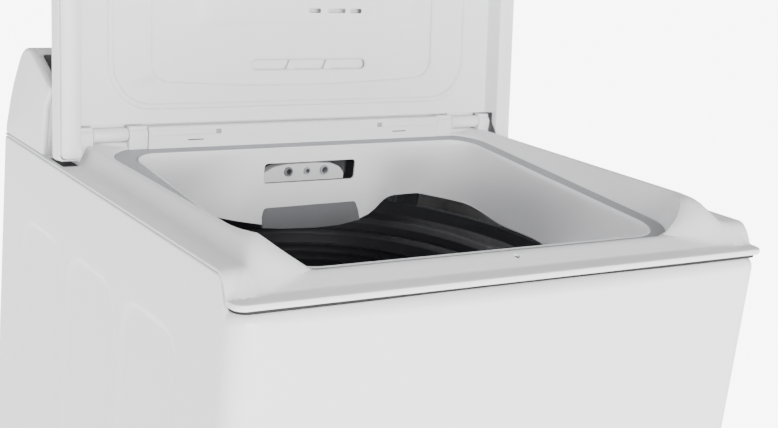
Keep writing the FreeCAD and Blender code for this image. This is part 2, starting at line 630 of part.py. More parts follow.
def make_tub():
    wall = turned([("62", "tub_low"), ("tub_rad", "tub_low"), ("tub_rad", "tub_high-8"),
                   ("ring_out-1", "tub_high-8"), ("ring_out-1", "tub_high"), ("tub_rad-tub_wall", "tub_high"),
                   ("tub_rad-tub_wall", "tub_low+6"), ("62", "tub_low+6")])
    arms = []
    for sx in (-1, 1):
        for sy in (-1, 1):
            beam = bind(doc.addObject("Part::Box", "arm"), Length="84", Width="24", Height="lug_high-lug_low")
            angle = math.degrees(math.atan2(sy * size("rod_y"), sx * size("rod_x")))
            turn = Rotation(Vector(0, 0, 1), angle)
            corner = turn.multVec(Vector(266, -12, 0))
            beam.Placement = Placement(corner, turn)
            beam.setExpression("Placement.Base.z", full("lug_low"))
            arms.append(beam)
            arms.append(rod("19", "lug_low", "lug_high", "%d*rod_x" % sx, "%d*rod_y" % sy))
    holes = around(lambda sx, sy: rod("rod_rad+2", "lug_low-1", "lug_high+1", "%d*rod_x" % sx, "%d*rod_y" % sy))
    drain = rod("12", "tub_low-1", "tub_low+7", "pump_x", "pump_y")
    keep(cut(join(wall, *arms), drain, *holes), "outer_tub")

    keep(turned([("ring_in", "tub_high-16"), ("ring_in+3", "tub_high-16"), ("ring_in+3", "ring_top-8"),
                 ("ring_in+8", "ring_top-3"), ("ring_out-7", "ring_top-3"), ("ring_out-3", "ring_top-6"),
                 ("ring_out-3", "tub_high"), ("ring_out", "tub_high"), ("ring_out", "ring_top-4"),
                 ("ring_out-6", "ring_top"), ("ring_in+8", "ring_top"), ("ring_in+2", "ring_top-3"),
                 ("ring_in", "ring_top-9")]), "tub_ring")

    plate = box("300", "410", "tub_low-platform_low", "0", "60", "platform_low")
    keep(cut(plate, rod("62", "platform_low-1", "tub_low+1"), rod("38.5", "platform_low-1", "tub_low+1",
                                                                  "pump_x", "pump_y")), "drive_platform")
    keep(turned([("housing_bore", "132"), ("50", "132"), ("50", "195"), ("62", "platform_low"), ("62", "218"),
                 ("housing_bore", "218")]), "bearing_housing")
    bearings = [tube("housing_bore", "tube_rad+run_gap", low, high) for low, high in (("134", "150"), ("198", "214"))]
    keep(join(*bearings), "shaft_bearings")

    can = turned([("13", "108"), ("motor_rad", "108"), ("motor_rad", "platform_low"), ("0", "platform_low"),
                  ("0", "platform_low-4"), ("motor_rad-4", "platform_low-4"), ("motor_rad-4", "112"),
                  ("13", "112")], "0", "motor_y")
    keep(can, "motor_housing")

    pump = turned([("0", "108"), ("28", "108"), ("28", "146"), ("38", "146"), ("38", "tub_low"), ("14", "tub_low"),
                   ("14", "182"), ("33", "182"), ("33", "150"), ("pump_shaft+run_gap", "150"),
                   ("pump_shaft+run_gap", "125"), ("0", "125")], "pump_x", "pump_y")
    spout = rod_across("12", "pump_x-70", "pump_x-35", "pump_y", "166")
    way = rod_across("9", "pump_x-71", "pump_x-30", "pump_y", "166")
    keep(cut(join(pump, spout), way), "drain_pump_housing")

    def coil(sx, sy):
        return tube("18", "12", "cup_top", "lug_low", "%d*rod_x" % sx, "%d*rod_y" % sy)
    keep(join(*around(coil)), "suspension_springs")


# ---- basket, wash plate and drive line

def make_basket():
    ribs = []
    for number in range(4):
        high = 782 - 17 * number
        ribs += [("balance_in", str(high)), ("balance_in-3", str(high - 1.5)), ("balance_in-3", str(high - 4.5)),
                 ("balance_in", str(high - 6))]
    keep(turned([("balance_in", "basket_high"), ("balance_rad", "basket_high"), ("balance_rad", "balance_top-4"),
                 ("balance_rad-4", "balance_top"), ("balance_in+4", "balance_top"), ("balance_in", "balance_top-4")]
                + ribs), "balance_ring")

    wall = turned([("39", "basket_low"), ("basket_rad-20", "basket_low"), ("basket_rad", "basket_low+20"),
                   ("basket_rad", "basket_high"), ("basket_rad-wall", "basket_high"),
                   ("basket_rad-wall", "basket_low+20.6"), ("basket_rad-20.6", "basket_low+wall"),
                   ("39", "basket_low+wall")])
    holes = []
    for level in range(6):
        for spoke in range(8):
            drill = bind(doc.addObject("Part::Cylinder", "drill"), Radius="hole_rad", Height="2*basket_rad+20")
            turn = Rotation(Vector(0, 0, 1), 22.5 * (spoke + 0.5 * (level % 2))).multiply(
                Rotation(Vector(0, 1, 0), 90))
            drill.Placement = Placement(turn.multVec(Vector(0, 0, -size("basket_rad") - 10)), turn)
            drill.setExpression("Placement.Base.z", full("basket_low+70+%d*70" % level))
            holes.append(drill)
    keep(cut(wall, *holes), "basket")
    keep(turned([("tube_rad", "226"), ("60", "226"), ("112", "233"), ("112", "basket_low"), ("39", "basket_low"),
                 ("39", "246"), ("tube_rad", "246")]), "basket_hub")
    keep(tube("tube_rad", "shaft_rad+run_gap", "104", "246"), "spin_tube")
    keep(turned([("tube_rad+run_gap", "108"), ("27", "108"), ("27", "113"), ("23", "114"), ("23", "118"),
                 ("27", "119"), ("27", "124"), ("tube_rad+run_gap", "124")]), "clutch_slider")

    plate = turned([("0", "262"), ("shaft_rad", "262"), ("shaft_rad", "250"), ("150", "250"), ("160", "257"),
                    ("150", "264"), ("60", "268"), ("36", "292"), ("0", "300")])
    vanes = []
    for number in range(6):
        vane = bind(doc.addObject("Part::Box", "vane"), Length="100", Width="14", Height="24")
        turn = Rotation(Vector(0, 0, 1), 60 * number)
        vane.Placement = Placement(turn.multVec(Vector(42, -7, 0)), turn)
        vane.setExpression("Placement.Base.z", "258")
        vanes.append(vane)
    keep(join(plate, *vanes), "wash_plate")
    keep(rod("shaft_rad", "70", "262"), "drive_shaft")
    low = "pulley_low"
    keep(turned([("shaft_rad", low), ("pulley_rad+4", low), ("pulley_rad+4", low + "+2.5"),
                 ("pulley_rad", low + "+4"), ("pulley_rad", low + "+14"), ("pulley_rad+4", low + "+15.5"),
                 ("pulley_rad+4", low + "+18"), ("pulley_rad-7", low + "+18"), ("pulley_rad-7", low + "+7"),
                 ("26", low + "+7"), ("26", low + "+21"), ("shaft_rad", low + "+21")]), "driven_pulley")

    keep(turned([("0", "76"), ("6", "76"), ("6", "120"), ("42", "120"), ("42", "185"), ("6", "185"), ("6", "194"),
                 ("0", "194")], "0", "motor_y"), "motor_rotor")
    keep(turned([("6", low), ("motor_pulley_rad+4", low), ("motor_pulley_rad+4", low + "+2.5"),
                 ("motor_pulley_rad", low + "+4"), ("motor_pulley_rad", low + "+14"),
                 ("motor_pulley_rad+4", low + "+15.5"), ("motor_pulley_rad+4", low + "+18"),
                 ("6", low + "+18")], "0", "motor_y"), "motor_pulley")
    gap, thick = size("belt_gap"), size("belt_thick")
    loop = belt_loop(gap + thick).cut(belt_loop(gap))
    loop.translate(Vector(0, 0, size("pulley_low") + 5))
    shaped(loop, "drive_belt")

    disc = turned([("0", "127"), ("pump_shaft", "127"), ("pump_shaft", "152"), ("28", "152"), ("28", "155"),
                   ("6", "155"), ("6", "174"), ("0", "174")], "pump_x", "pump_y")
    blades = []
    for number in range(6):
        blade = bind(doc.addObject("Part::Box", "blade"), Length="22", Width="2", Height="18")
        turn = Rotation(Vector(0, 0, 1), 60 * number)
        spot = turn.multVec(Vector(5, -1, 0)) + Vector(size("pump_x"), size("pump_y"), 0)
        blade.Placement = Placement(spot, turn)
        blade.setExpression("Placement.Base.z", "154")
        blades.append(blade)
    keep(join(disc, *blades), "pump_impeller")


def belt_loop(out):
    """The flat stadium around both pulleys, as far out from their rims as given."""
    big, little, apart = size("pulley_rad") + out, size("motor_pulley_rad") + out, size("motor_y")
    slope = math.asin((big - little) / apart)
    side = Vector(math.cos(slope), math.sin(slope), 0)
    other = Vector(-side.x, side.y, 0)
    far = Vector(0, apart, 0)
    wire = Part.Wire([
        Part.Arc(other * big, Vector(0, -big, 0), side * big).toShape(),
        Part.LineSegment(side * big, far + side * little).toShape(),
        Part.Arc(far + side * little, far + Vector(0, little, 0), far + other * little).toShape(),
        Part.LineSegment(far + other * little, other * big).toShape()])
    return Part.Face(wire).extrude(Vector(0, 0, 8))


make_cabinet()
top_deck = make_deck()
make_water_way()
make_lid(top_deck)
make_console()
make_tub()
make_basket()
doc.recompute()

for item in doc.Objects:
    if "Invalid" in item.State or "Error" in item.State:
        raise RuntimeError("%s did not rebuild: %s" % (item.Name, item.State))
for part in subparts:
    if part.Shape.isNull() or not part.Shape.isValid() or not part.Shape.Solids:
        raise RuntimeError("%s has no valid solid" % part.Label)

os.makedirs("parts", exist_ok=True)
for part in subparts:
    part.Shape.exportStep("parts/%s.step" % part.Label)
print("%d sub-parts" % len(subparts))
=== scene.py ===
import json
import math
import bmesh
import bpy
from mathutils import Matrix, Vector


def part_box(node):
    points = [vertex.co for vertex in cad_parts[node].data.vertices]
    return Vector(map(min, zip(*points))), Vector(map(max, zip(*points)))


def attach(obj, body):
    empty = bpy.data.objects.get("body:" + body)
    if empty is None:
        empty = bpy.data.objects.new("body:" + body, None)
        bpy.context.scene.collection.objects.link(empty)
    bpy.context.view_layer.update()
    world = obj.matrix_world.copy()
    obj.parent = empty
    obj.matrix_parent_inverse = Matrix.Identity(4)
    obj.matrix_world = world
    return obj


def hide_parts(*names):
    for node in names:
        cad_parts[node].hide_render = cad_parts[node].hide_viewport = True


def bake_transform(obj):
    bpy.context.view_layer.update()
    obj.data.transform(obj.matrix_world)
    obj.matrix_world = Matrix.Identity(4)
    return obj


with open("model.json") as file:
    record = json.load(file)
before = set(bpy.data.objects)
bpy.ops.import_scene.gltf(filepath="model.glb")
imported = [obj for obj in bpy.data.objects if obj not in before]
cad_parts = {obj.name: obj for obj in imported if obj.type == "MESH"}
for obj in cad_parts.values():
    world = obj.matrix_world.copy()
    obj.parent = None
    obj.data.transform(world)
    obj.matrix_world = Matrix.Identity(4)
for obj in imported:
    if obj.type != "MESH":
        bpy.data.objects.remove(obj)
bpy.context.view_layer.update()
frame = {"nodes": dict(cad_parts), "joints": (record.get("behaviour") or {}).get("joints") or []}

MM = 0.001
CABINET_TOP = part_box("cabinet_wrap")[1].z
DECK_SHEET = 3 * MM
DECK = CABINET_TOP + DECK_SHEET
JOINTS = {joint["name"]: joint for joint in frame["joints"]}
HINGE = Vector(JOINTS["lid_hinge"]["pos_m"])
LEAN = math.radians(7.5)


# ---- materials

CLOUD_SIZE = 60.0


def linear(hex_colour):
    """An sRGB hex colour as linear values for the shader."""
    channels = [int(hex_colour[i:i + 2], 16) / 255 for i in (1, 3, 5)]
    return [c / 12.92 if c <= 0.04045 else ((c + 0.055) / 1.055) ** 2.4 for c in channels] + [1.0]


def node(tree, kind, settings=None, links=None):
    """Add one node, set its sockets, and link other nodes' outputs to them."""
    made = tree.nodes.new(kind)
    for key, value in (settings or {}).items():
        made.inputs[key].default_value = value
    for key, source in (links or {}).items():
        tree.links.new(source, made.inputs[key])
    return made


def finish(name, colour, roughness, grain, bump, mottle=0.0, spread=0.0, **sockets):
    """A principled surface with a fine relief.

    grain and bump are the relief's size and depth in millimetres; mottle darkens the colour in clouds, and
    spread varies the roughness.
    """
    material = bpy.data.materials.new(name)
    material.use_nodes = True
    tree = material.node_tree
    surface = tree.nodes["Principled BSDF"]
    surface.inputs["Base Color"].default_value = linear(colour)
    surface.inputs["Roughness"].default_value = roughness
    for key, value in sockets.items():
        surface.inputs[key.replace("_", " ")].default_value = value
    place = node(tree, "ShaderNodeTexCoord")
    speckle = node(tree, "ShaderNodeTexNoise", {"Scale": 1 / (grain * MM), "Detail": 3.0, "Roughness": 0.6},
                   {"Vector": place.outputs["Object"]})
    relief = node(tree, "ShaderNodeBump", {"Strength": 1.0, "Distance": bump * MM},
                  {"Height": speckle.outputs["Fac"]})
    tree.links.new(relief.outputs["Normal"], surface.inputs["Normal"])
    if mottle:
        cloud = node(tree, "ShaderNodeTexNoise", {"Scale": 1 / (CLOUD_SIZE * MM), "Detail": 4.0},
                     {"Vector": place.outputs["Object"]})
        shades = node(tree, "ShaderNodeValToRGB", {}, {"Fac": cloud.outputs["Fac"]})
        dark, pale = shades.color_ramp.elements
        dark.color = [c * (1 - mottle) for c in linear(colour)[:3]] + [1]
        pale.color = linear(colour)
        dark.position = 0.35
        pale.position = 0.65
        tree.links.new(shades.outputs["Color"], surface.inputs["Base Color"])
    if spread:
        around = node(tree, "ShaderNodeMapRange", {"To Min": roughness - spread, "To Max": roughness + spread},
                      {"Value": speckle.outputs["Fac"]})
        tree.links.new(around.outputs["Result"], surface.inputs["Roughness"])
    return material


# Baked enamel on steel: glossy, with the faint orange peel of a sprayed and fired coat.
ENAMEL = finish("white_baked_enamel", "#EBEBEC", 0.26, 3.0, 0.012, 0.012, 0.03, IOR=1.52, Coat_Weight=0.25,
                Coat_Roughness=0.08)
# Injection moulded polypropylene, satin from a finely etched mould.
MOULDED = finish("white_moulded_polypropylene", "#E8E8EA", 0.42, 1.2, 0.015, 0.015, 0.05, IOR=1.49)
# Thermoplastic rubber lip seal, matt and soft looking.
SEAL = finish("grey_elastomer_seal", "#9FA0A4", 0.62, 0.8, 0.02, 0.04, 0.06, IOR=1.5)
# Glass filled polypropylene in mid grey with a spark-eroded grain.
GREY = finish("grey_grained_polypropylene", "#6C6D70", 0.55, 1.0, 0.04, 0.05, 0.08, IOR=1.5)
# Light grey acetal of the spray head, the knob and the fascia's trim.
ACETAL = finish("light_grey_acetal", "#C9C9CB", 0.38, 1.0, 0.01, 0.02, 0.04, IOR=1.48)
# Charcoal polypropylene of the tub ring and balance ring, low sheen.
CHARCOAL = finish("charcoal_polypropylene", "#2C2C31", 0.42, 1.2, 0.03, 0.08, 0.06, IOR=1.5)
# Back-printed glass of the control fascia.
FASCIA = finish("black_tempered_glass", "#0A0A0C", 0.05, 20.0, 0.004, IOR=1.52, Coat_Weight=0.6,
                Coat_Roughness=0.02)
# Rolled stainless sheet of the basket, with a fine satin polish.
STAINLESS = finish("brushed_stainless_sheet", "#C4C4C2", 0.3, 1.5, 0.01, 0.05, 0.08, Metallic=1.0)
# Hot dip galvanised steel: dull zinc with cloudy spangle.
ZINC = finish("galvanised_steel", "#A8ABAE", 0.45, 9.0, 0.02, 0.16, 0.1, Metallic=1.0)
# Bright drawn steel of pins, rods and springs.
STEEL = finish("bright_drawn_steel", "#BDBEC0", 0.28, 0.8, 0.008, 0.04, 0.06, Metallic=1.0)
# Die-cast aluminium, slightly rough from the die.
CAST = finish("cast_aluminium", "#B9BABC", 0.5, 1.5, 0.05, 0.08, 0.08, Metallic=1.0)
# Vulcanised rubber of feet, pads, hoses and belt, and of the joint strip under the deck's lip, whose black is also
# painted shade for that gap.
RUBBER = finish("black_rubber", "#151516", 0.7, 0.8, 0.03, 0.1, 0.08, IOR=1.5)
# Unpigmented polypropylene of the hidden tub and valves, milky.
NATURAL = finish("natural_polypropylene", "#D6D5CE", 0.48, 1.5, 0.02, 0.03, 0.05, IOR=1.49,
                 Subsurface_Weight=0.1, Subsurface_Scale=0.004)
# Solder mask on glass fibre board.
BOARD = finish("circuit_board_laminate", "#1F5A38", 0.35, 2.0, 0.02, 0.2, IOR=1.5)
# Dark grey of the spray head's pocket and jets and of the small slots and pockets: painted shade standing in for
# the shade inside these hollows. It is also the real dark grey of the knob's pointer and the display window.
DARK_GREY_AND_PAINTED_SHADE = finish("dark_grey_and_painted_shade", "#2A2B2E", 0.5, 1.0, 0.03, 0.1, 0.05, IOR=1.5)
# Pale print on the fascia.
PRINT = finish("pale_grey_print", "#C8CACC", 0.5, 0.6, 0.004)

CAD_FINISH = {
    ENAMEL: ["cabinet_wrap", "lid_outer_skin"],
    MOULDED: ["top_deck", "lid_inner_panel", "lid_hinge_barrels", "deck_hinge_knuckles", "console_housing",
              "console_end_cap_left", "console_end_cap_right", "cycle_knob"],
    SEAL: ["lid_gasket", "lid_bumpers"],
    ACETAL: ["nozzle_housing", "lid_strike"],
    GREY: ["rear_insert_panel", "lid_lock_housing", "lock_bolt", "drain_outlet", "wash_plate", "power_button",
           "start_button", "water_level_button", "soak_button"],
    CHARCOAL: ["tub_ring", "balance_ring", "clutch_slider"],
    DARK_GREY_AND_PAINTED_SHADE: ["spray_nozzles"],
    FASCIA: ["control_panel"],
    STAINLESS: ["basket"],
    ZINC: ["rear_panel", "base_frame", "suspension_brackets", "drive_platform", "motor_housing"],
    STEEL: ["suspension_rods", "suspension_springs", "hinge_pins", "rear_screws", "shaft_bearings", "spin_tube",
            "drive_shaft", "motor_rotor"],
    CAST: ["bearing_housing", "basket_hub", "driven_pulley", "motor_pulley"],
    RUBBER: ["levelling_foot_front_left", "levelling_foot_front_right", "levelling_foot_rear_left",
             "levelling_foot_rear_right", "fill_hose", "cord_gland", "internal_drain_hose", "drive_belt"],
    NATURAL: ["inlet_valve", "outer_tub", "drain_pump_housing", "pump_impeller"],
    BOARD: ["control_board"],
}


def dress_cad_nodes():
    for material, names in CAD_FINISH.items():
        for name in names:
            mesh = frame["nodes"][name].data
            mesh.materials.clear()
            mesh.materials.append(material)


# ---- mesh helpers

def only(obj):
    """Select one object and nothing else."""
    bpy.ops.object.select_all(action="DESELECT")
    obj.select_set(True)
    bpy.context.view_layer.objects.active = obj
    return obj


def add_modifier(obj, kind, **settings):
    only(obj)
    modifier = obj.modifiers.new(kind.lower(), kind)
    for key, value in settings.items():
        setattr(modifier, key, value)
    bpy.ops.object.modifier_apply(modifier=modifier.name)
    return obj


def new_mesh(name, points, faces, edges=()):
    mesh = bpy.data.meshes.new(name)
    mesh.from_pydata([tuple(p) for p in points], edges, faces)
    mesh.update()
    obj = bpy.data.objects.new(name, mesh)
    bpy.context.scene.collection.objects.link(obj)
    return obj


def loft(name, rings, close_first=False, close_last=False):
    """Skin closed rings that all have the same number of points."""
    count = len(rings[0])
    faces = []
    for i in range(len(rings) - 1):
        for j in range(count):
            k = (j + 1) % count
            faces.append((i * count + j, i * count + k, (i + 1) * count + k, (i + 1) * count + j))
    if close_first:
        faces.append(tuple(reversed(range(count))))
    if close_last:
        start = (len(rings) - 1) * count
        faces.append(tuple(range(start, start + count)))
    return new_mesh(name, [p for ring in rings for p in ring], faces)


def face_outwards(obj):
    """Weld a mesh's seams and turn its faces outwards."""
    only(obj)
    bpy.ops.object.mode_set(mode="EDIT")
    bpy.ops.mesh.select_all(action="SELECT")
    bpy.ops.mesh.remove_doubles(threshold=0.00002)
    bpy.ops.mesh.normals_make_consistent(inside=False)
    bpy.ops.object.mode_set(mode="OBJECT")
    return obj


def dress(obj, material, body, nodes=(), degrees=32):
    """Smooth a finished piece, give it its material and the body that it moves with."""
    only(obj)
    bpy.ops.object.transform_apply(location=True, rotation=True, scale=True)
    bpy.ops.object.shade_smooth_by_angle(angle=math.radians(degrees))
    obj.data.materials.clear()
    obj.data.materials.append(material)
    if body:
        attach(obj, body)
    if nodes:
        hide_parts(*nodes)
    return obj


def at(x, y, up):
    """A point in metres, from millimetres across, back and above the deck's top."""
    return Vector((x * MM, y * MM, DECK + up * MM))


def ease(t):
    """A smooth step from 0 to 1."""
    t = min(max(t, 0.0), 1.0)
    return t * t * (3 - 2 * t)


def mix(a, b, t):
    return a + (b - a) * t


def cut_away(obj, cutter):
    """Subtract a cutter from a piece and remove the cutter."""
    add_modifier(obj, "BOOLEAN", operation="DIFFERENCE", object=cutter, solver="EXACT")
    bpy.data.objects.remove(cutter)
    return obj


def block(name, low, high, bevel=0.0, segments=3):
    """A cube primitive stretched between two corners, its edges rounded."""
    bpy.ops.object.select_all(action="DESELECT")
    centre = (Vector(low) + Vector(high)) / 2
    bpy.ops.mesh.primitive_cube_add(size=1, location=centre)
    obj = bpy.context.active_object
    obj.name = name
    obj.scale = Vector(high) - Vector(low)
    bpy.ops.object.transform_apply(location=True, rotation=True, scale=True)
    if bevel:
        add_modifier(obj, "BEVEL", width=bevel, segments=segments, limit_method="ANGLE")
    return obj


def spun(name, profile, centre=(0, 0, 0), steps=96):
    """Spin a half section (radius, height) about a vertical axis."""
    points = [Vector(centre) + Vector((r, 0, z)) for r, z in profile]
    obj = only(new_mesh(name, points, [], [(i, i + 1) for i in range(len(points) - 1)]))
    bpy.ops.object.mode_set(mode="EDIT")
    bpy.ops.mesh.select_all(action="SELECT")
    bpy.ops.mesh.spin(steps=steps, angle=2 * math.pi, center=centre, axis=(0, 0, 1))
    bpy.ops.object.mode_set(mode="OBJECT")
    return face_outwards(obj)


def rod(name, radius, low, high, centre=(0, 0, 0), steps=48):
    """A plain cylinder between two heights, all in millimetres except its centre."""
    section = [(0, low * MM), (radius * MM, low * MM), (radius * MM, high * MM), (0, high * MM)]
    return spun(name, section, centre, steps)


def lay_back(obj, x, y, z):
    """Turn a spun piece's axis to run front to back, and move it to a place."""
    obj.data.transform(Matrix.Translation((x, y, z)) @ Matrix.Rotation(math.radians(90), 4, "X"))
    return obj


def span(side, near, far):
    """The lower and higher x of a piece on one side of the middle, from its distances to the middle."""
    return sorted((side * near, side * far))


def rounded(points, radius_of, steps=5):
    """Round the corners of a profile, apart from its two ends; radius_of gives each corner's radius."""
    out = []
    count = len(points)
    for i, point in enumerate(points):
        point = Vector(point)
        radius = radius_of.get(i, 0)
        if not radius or i in (0, count - 1):
            out.append(point)
            continue
        into = Vector(points[i - 1]) - point
        away = Vector(points[i + 1]) - point
        turn = math.pi - into.angle(away)
        reach = min(radius * math.tan(turn / 2), 0.49 * into.length, 0.49 * away.length)
        a, b = point + into.normalized() * reach, point + away.normalized() * reach
        for step in range(steps + 1):
            t = step / steps
            out.append(a.lerp(point, t).lerp(point.lerp(b, t), t))
    return out


def profile_mm(points, radii, steps=5):
    """A rounded profile given in millimetres, turned into metres for spun."""
    return [(p[0] * MM, p[1] * MM) for p in rounded(points, radii, steps)]


# ---- plan of the deck: closed rings with the same layout of points

CORNER_STEPS, SIDE_STEPS, FRONT_STEPS = 12, 40, 36
SIDE_CROWDING = 2.1


def plan(half, front, back, front_rad, back_rad):
    """A rounded rectangle seen from above, in millimetres, denser along the sides near the front."""
    ring = []
    for i in range(FRONT_STEPS):
        ring.append((mix(-half + front_rad, half - front_rad, i / FRONT_STEPS), front))
    ring += corner(half - front_rad, front + front_rad, front_rad, -90)
    for i in range(SIDE_STEPS):
        ring.append((half, mix(front + front_rad, back - back_rad, (i / SIDE_STEPS) ** SIDE_CROWDING)))
    ring += corner(half - back_rad, back - back_rad, back_rad, 0)
    for i in range(FRONT_STEPS):
        ring.append((mix(half - back_rad, -half + back_rad, i / FRONT_STEPS), back))
    ring += corner(-half + back_rad, back - back_rad, back_rad, 90)
    for i in range(SIDE_STEPS):
        ring.append((-half, mix(front + front_rad, back - back_rad, (1 - i / SIDE_STEPS) ** SIDE_CROWDING)))
    ring += corner(-half + front_rad, front + front_rad, front_rad, 180)
    return ring


def corner(x, y, radius, start):
    """A quarter circle about a centre, from a starting angle in degrees, without its last point."""
    angles = [math.radians(start + 90 * i / CORNER_STEPS) for i in range(CORNER_STEPS)]
    return [(x + radius * math.cos(a), y + radius * math.sin(a)) for a in angles]


# ---- top deck with its rim, seal groove and funnel

GROOVE_FALL = math.tan(math.radians(4.57))
GROOVE_MID = 4.3
MOUTH_BACK = 113.0
FUNNEL_RADIUS = 274.0
FUNNEL_STEPS = 14


def groove_level(y):
    """Height of the seal's groove above the deck's top at the sides, in millimetres: it falls to the front."""
    return GROOVE_MID + GROOVE_FALL * y


def deck_station(half, front, back, front_rad, back_rad, side_z, front_z, rim=0.0):
    """One ring of the deck. Its height rolls down from the side level to the front level near the front.

    rim is 0 at the outer edge, where the roll is short, and 1 on the rim's crest, where it is longer.
    """
    ring = []
    start = max(front, -304.0)
    for x, y in plan(half, front, back, front_rad, back_rad):
        short = min(1.0, max(0.0, (start + 20 - y) / 20)) ** 2
        soft = 1 - math.sqrt(min(1.0, max(0.0, (y - front) / 24)))
        ring.append(at(x, y, mix(side_z, front_z, mix(short, soft, rim))))
    return ring


def sloped_station(half, front, back, front_rad, back_rad, rise):
    """One ring of the deck that follows the slope of the seal's groove."""
    return [at(x, y, groove_level(y) + rise) for x, y in plan(half, front, back, front_rad, back_rad)]


def funnel_foot(x, y):
    """Where the funnel's lower edge lies below a point of the mouth: a circle cut off by the nozzle wall."""
    angle = math.atan2(y + 60, x)
    foot_x, foot_y = FUNNEL_RADIUS * math.cos(angle), FUNNEL_RADIUS * math.sin(angle)
    rear_wall = MOUTH_BACK + 46 * ease((abs(foot_x) - 95) / 95)
    return foot_x, min(foot_y, rear_wall)


def foot_level(x, y):
    """Height of the funnel's lower edge: it dips in the middle of the rear wall and rises beside it."""
    rear = ease((y - 20) / 80)
    wave = mix(-98, -75, ease((abs(x - 30) - 20) / (120 if x > 30 else 180)))
    return mix(-91, wave, rear)


def make_deck():
    back = 323.0
    rings = [deck_station(*row) for row in (
        (345.0, -320.0, back - 2, 10, 3, -3.0, -29.5),
        (348.4, -323.4, back, 12, 4, -2.9, -29.5),
        (349.0, -324.0, back, 12, 4, -2.2, -28.0),
        (349.0, -324.0, back, 12, 4, -0.9, -25.2),
        (348.5, -323.4, back - 0.5, 12, 4, -0.2, -23.5),
        (347.2, -322.0, back - 1, 12, 4, 0.0, -22.9),
        (342.0, -317.6, 315, 12, 10, 0.0, -22.9),
        (336.0, -313.0, 300, 13, 10, 0.0, -22.9),
        (330.0, -308.4, 220, 15, 10, 0.0, -22.9),
        (323.0, -303.0, 152, 20, 10, 0.0, -22.9),
        (319.5, -300.5, 149.5, 22, 10, 0.3, -22.5),
        (318.0, -298.8, 148.2, 24, 10, 1.6, -21.6, 0.05),
        (316.4, -296.0, 147.6, 29, 10, 5.0, -20.2, 0.15),
        (313.0, -291.0, 147.3, 38, 10, 11.8, -18.0, 0.45),
        (310.4, -287.0, 147.0, 47, 10, 17.6, -16.0, 0.7),
        (308.6, -283.4, 146.6, 52, 10, 20.4, -14.4, 0.85),
        (306.4, -279.8, 145.6, 57, 12, 21.8, -13.3, 1.0),
        (304.4, -276.8, 144.4, 61, 14, 22.0, -13.0, 1.0),
        (302.0, -274.4, 143.2, 63, 18, 21.2, -13.6, 1.0),
        (299.0, -272.6, 142.4, 64, 26, 19.4, -14.8, 1.0),
    )]
    slope_foot = sloped_station(287.4, -268.8, 139.6, 60, 44, 1.0)
    rings += [[a.lerp(b, 0.5) for a, b in zip(rings[-1], slope_foot)], slope_foot]
    rings += [sloped_station(*row) for row in (
        (286.2, -268.0, 139.0, 58, 44, 0.4),
        (285.4, -267.6, 138.6, 58, 44, -0.8),
        (285.2, -267.4, 138.4, 58, 44, -4.0),
        (260.8, -260.8, 115.2, 46, 34, -4.0),
        (260.6, -260.6, 115.0, 46, 34, -0.8),
        (260.0, -260.0, 114.6, 46, 34, 0.2),
        (258.6, -258.8, 113.8, 45, 33, 0.0),
        (257.4, -257.8, 113.2, 44, 32, -1.8),
        (257.0, -257.4, 113.0, 44, 32, -5.0),
    )]
    lip = rings[-1]
    for step in range(1, FUNNEL_STEPS + 1):
        t = step / FUNNEL_STEPS
        ring = []
        for point in lip:
            x, y = point.x / MM, point.y / MM
            foot_x, foot_y = funnel_foot(x, y)
            spread = ease(t) * 0.5 + t * 0.5
            level = mix(groove_level(y) - 5, foot_level(foot_x, foot_y), t)
            ring.append(at(mix(x, foot_x, spread), mix(y, foot_y, spread), level))
        rings.append(ring)
    deck = loft("deck_moulding", rings)
    face_outwards(deck)
    add_modifier(deck, "SOLIDIFY", thickness=2.2 * MM, offset=-1.0)
    cut_away(deck, block("slot_cutter", at(-66, MOUTH_BACK - 12, -34), at(76, MOUTH_BACK + 12, -7), 5 * MM, 5))
    cut_away(deck, rod("strike_cutter", 3.2, -60, 10, (11 * MM, -286 * MM, DECK), 32))
    # Dark plates on the deck under the lid's rear legs: painted shade standing in for the shaded pockets there.
    for number, side in enumerate((-1, 1)):
        low_x, high_x = span(side, 324.0, 344.0)
        pocket = block("leg_pocket_shade_%d" % number, at(low_x, 122, -3), at(high_x, 166, 0.4))
        dress(pocket, DARK_GREY_AND_PAINTED_SHADE, "root")
    dress(deck, MOULDED, "root", ["top_deck"], 38)

    # Black rubber strip in the gap under the deck's lip: a joint strip, whose black is also painted shade for that
    # gap.
    strip = [deck_station(*row) for row in (
        (345.6, -320.6, 319, 14, 3, -2.5, -29.0), (345.6, -320.6, 319, 14, 3, -5.4, -33.8),
        (342.6, -317.6, 316, 12, 3, -5.4, -33.8), (342.6, -317.6, 316, 12, 3, -2.5, -29.0))]
    gap_shade_strip = loft("deck_joint_and_gap_shade_strip", strip + strip[:1])
    face_outwards(gap_shade_strip)
    dress(gap_shade_strip, RUBBER, "root")

    seal_rings = [sloped_station(*row) for row in (
        (284.5, -267.0, 137.9, 57.5, 43.5, -3.9),
        (284.5, -267.0, 137.9, 57.5, 43.5, -1.4),
        (283.6, -266.6, 137.2, 57.0, 43.0, -0.7),
        (279.0, -265.4, 133.0, 55.5, 41.0, -0.4),
        (267.0, -262.4, 121.0, 53.0, 37.0, -0.4),
        (262.4, -261.6, 116.6, 52.0, 35.0, -0.7),
        (261.4, -261.2, 115.8, 52.0, 34.5, -1.4),
        (261.4, -261.2, 115.8, 52.0, 34.5, -3.9),
    )]
    seal = loft("mouth_seal", seal_rings + seal_rings[:1])
    face_outwards(seal)
    dress(seal, SEAL, "root", ["lid_gasket"])


# ---- lid: its plan lies in the lid's own plane, x across and up from the hinge; out is away from the user

LINER_FLOOR = 4.8


def lid_point(x, out, up):
    across = out * math.cos(LEAN) + up * math.sin(LEAN)
    rise = up * math.cos(LEAN) - out * math.sin(LEAN)
    return HINGE + Vector((x, across, rise)) * MM


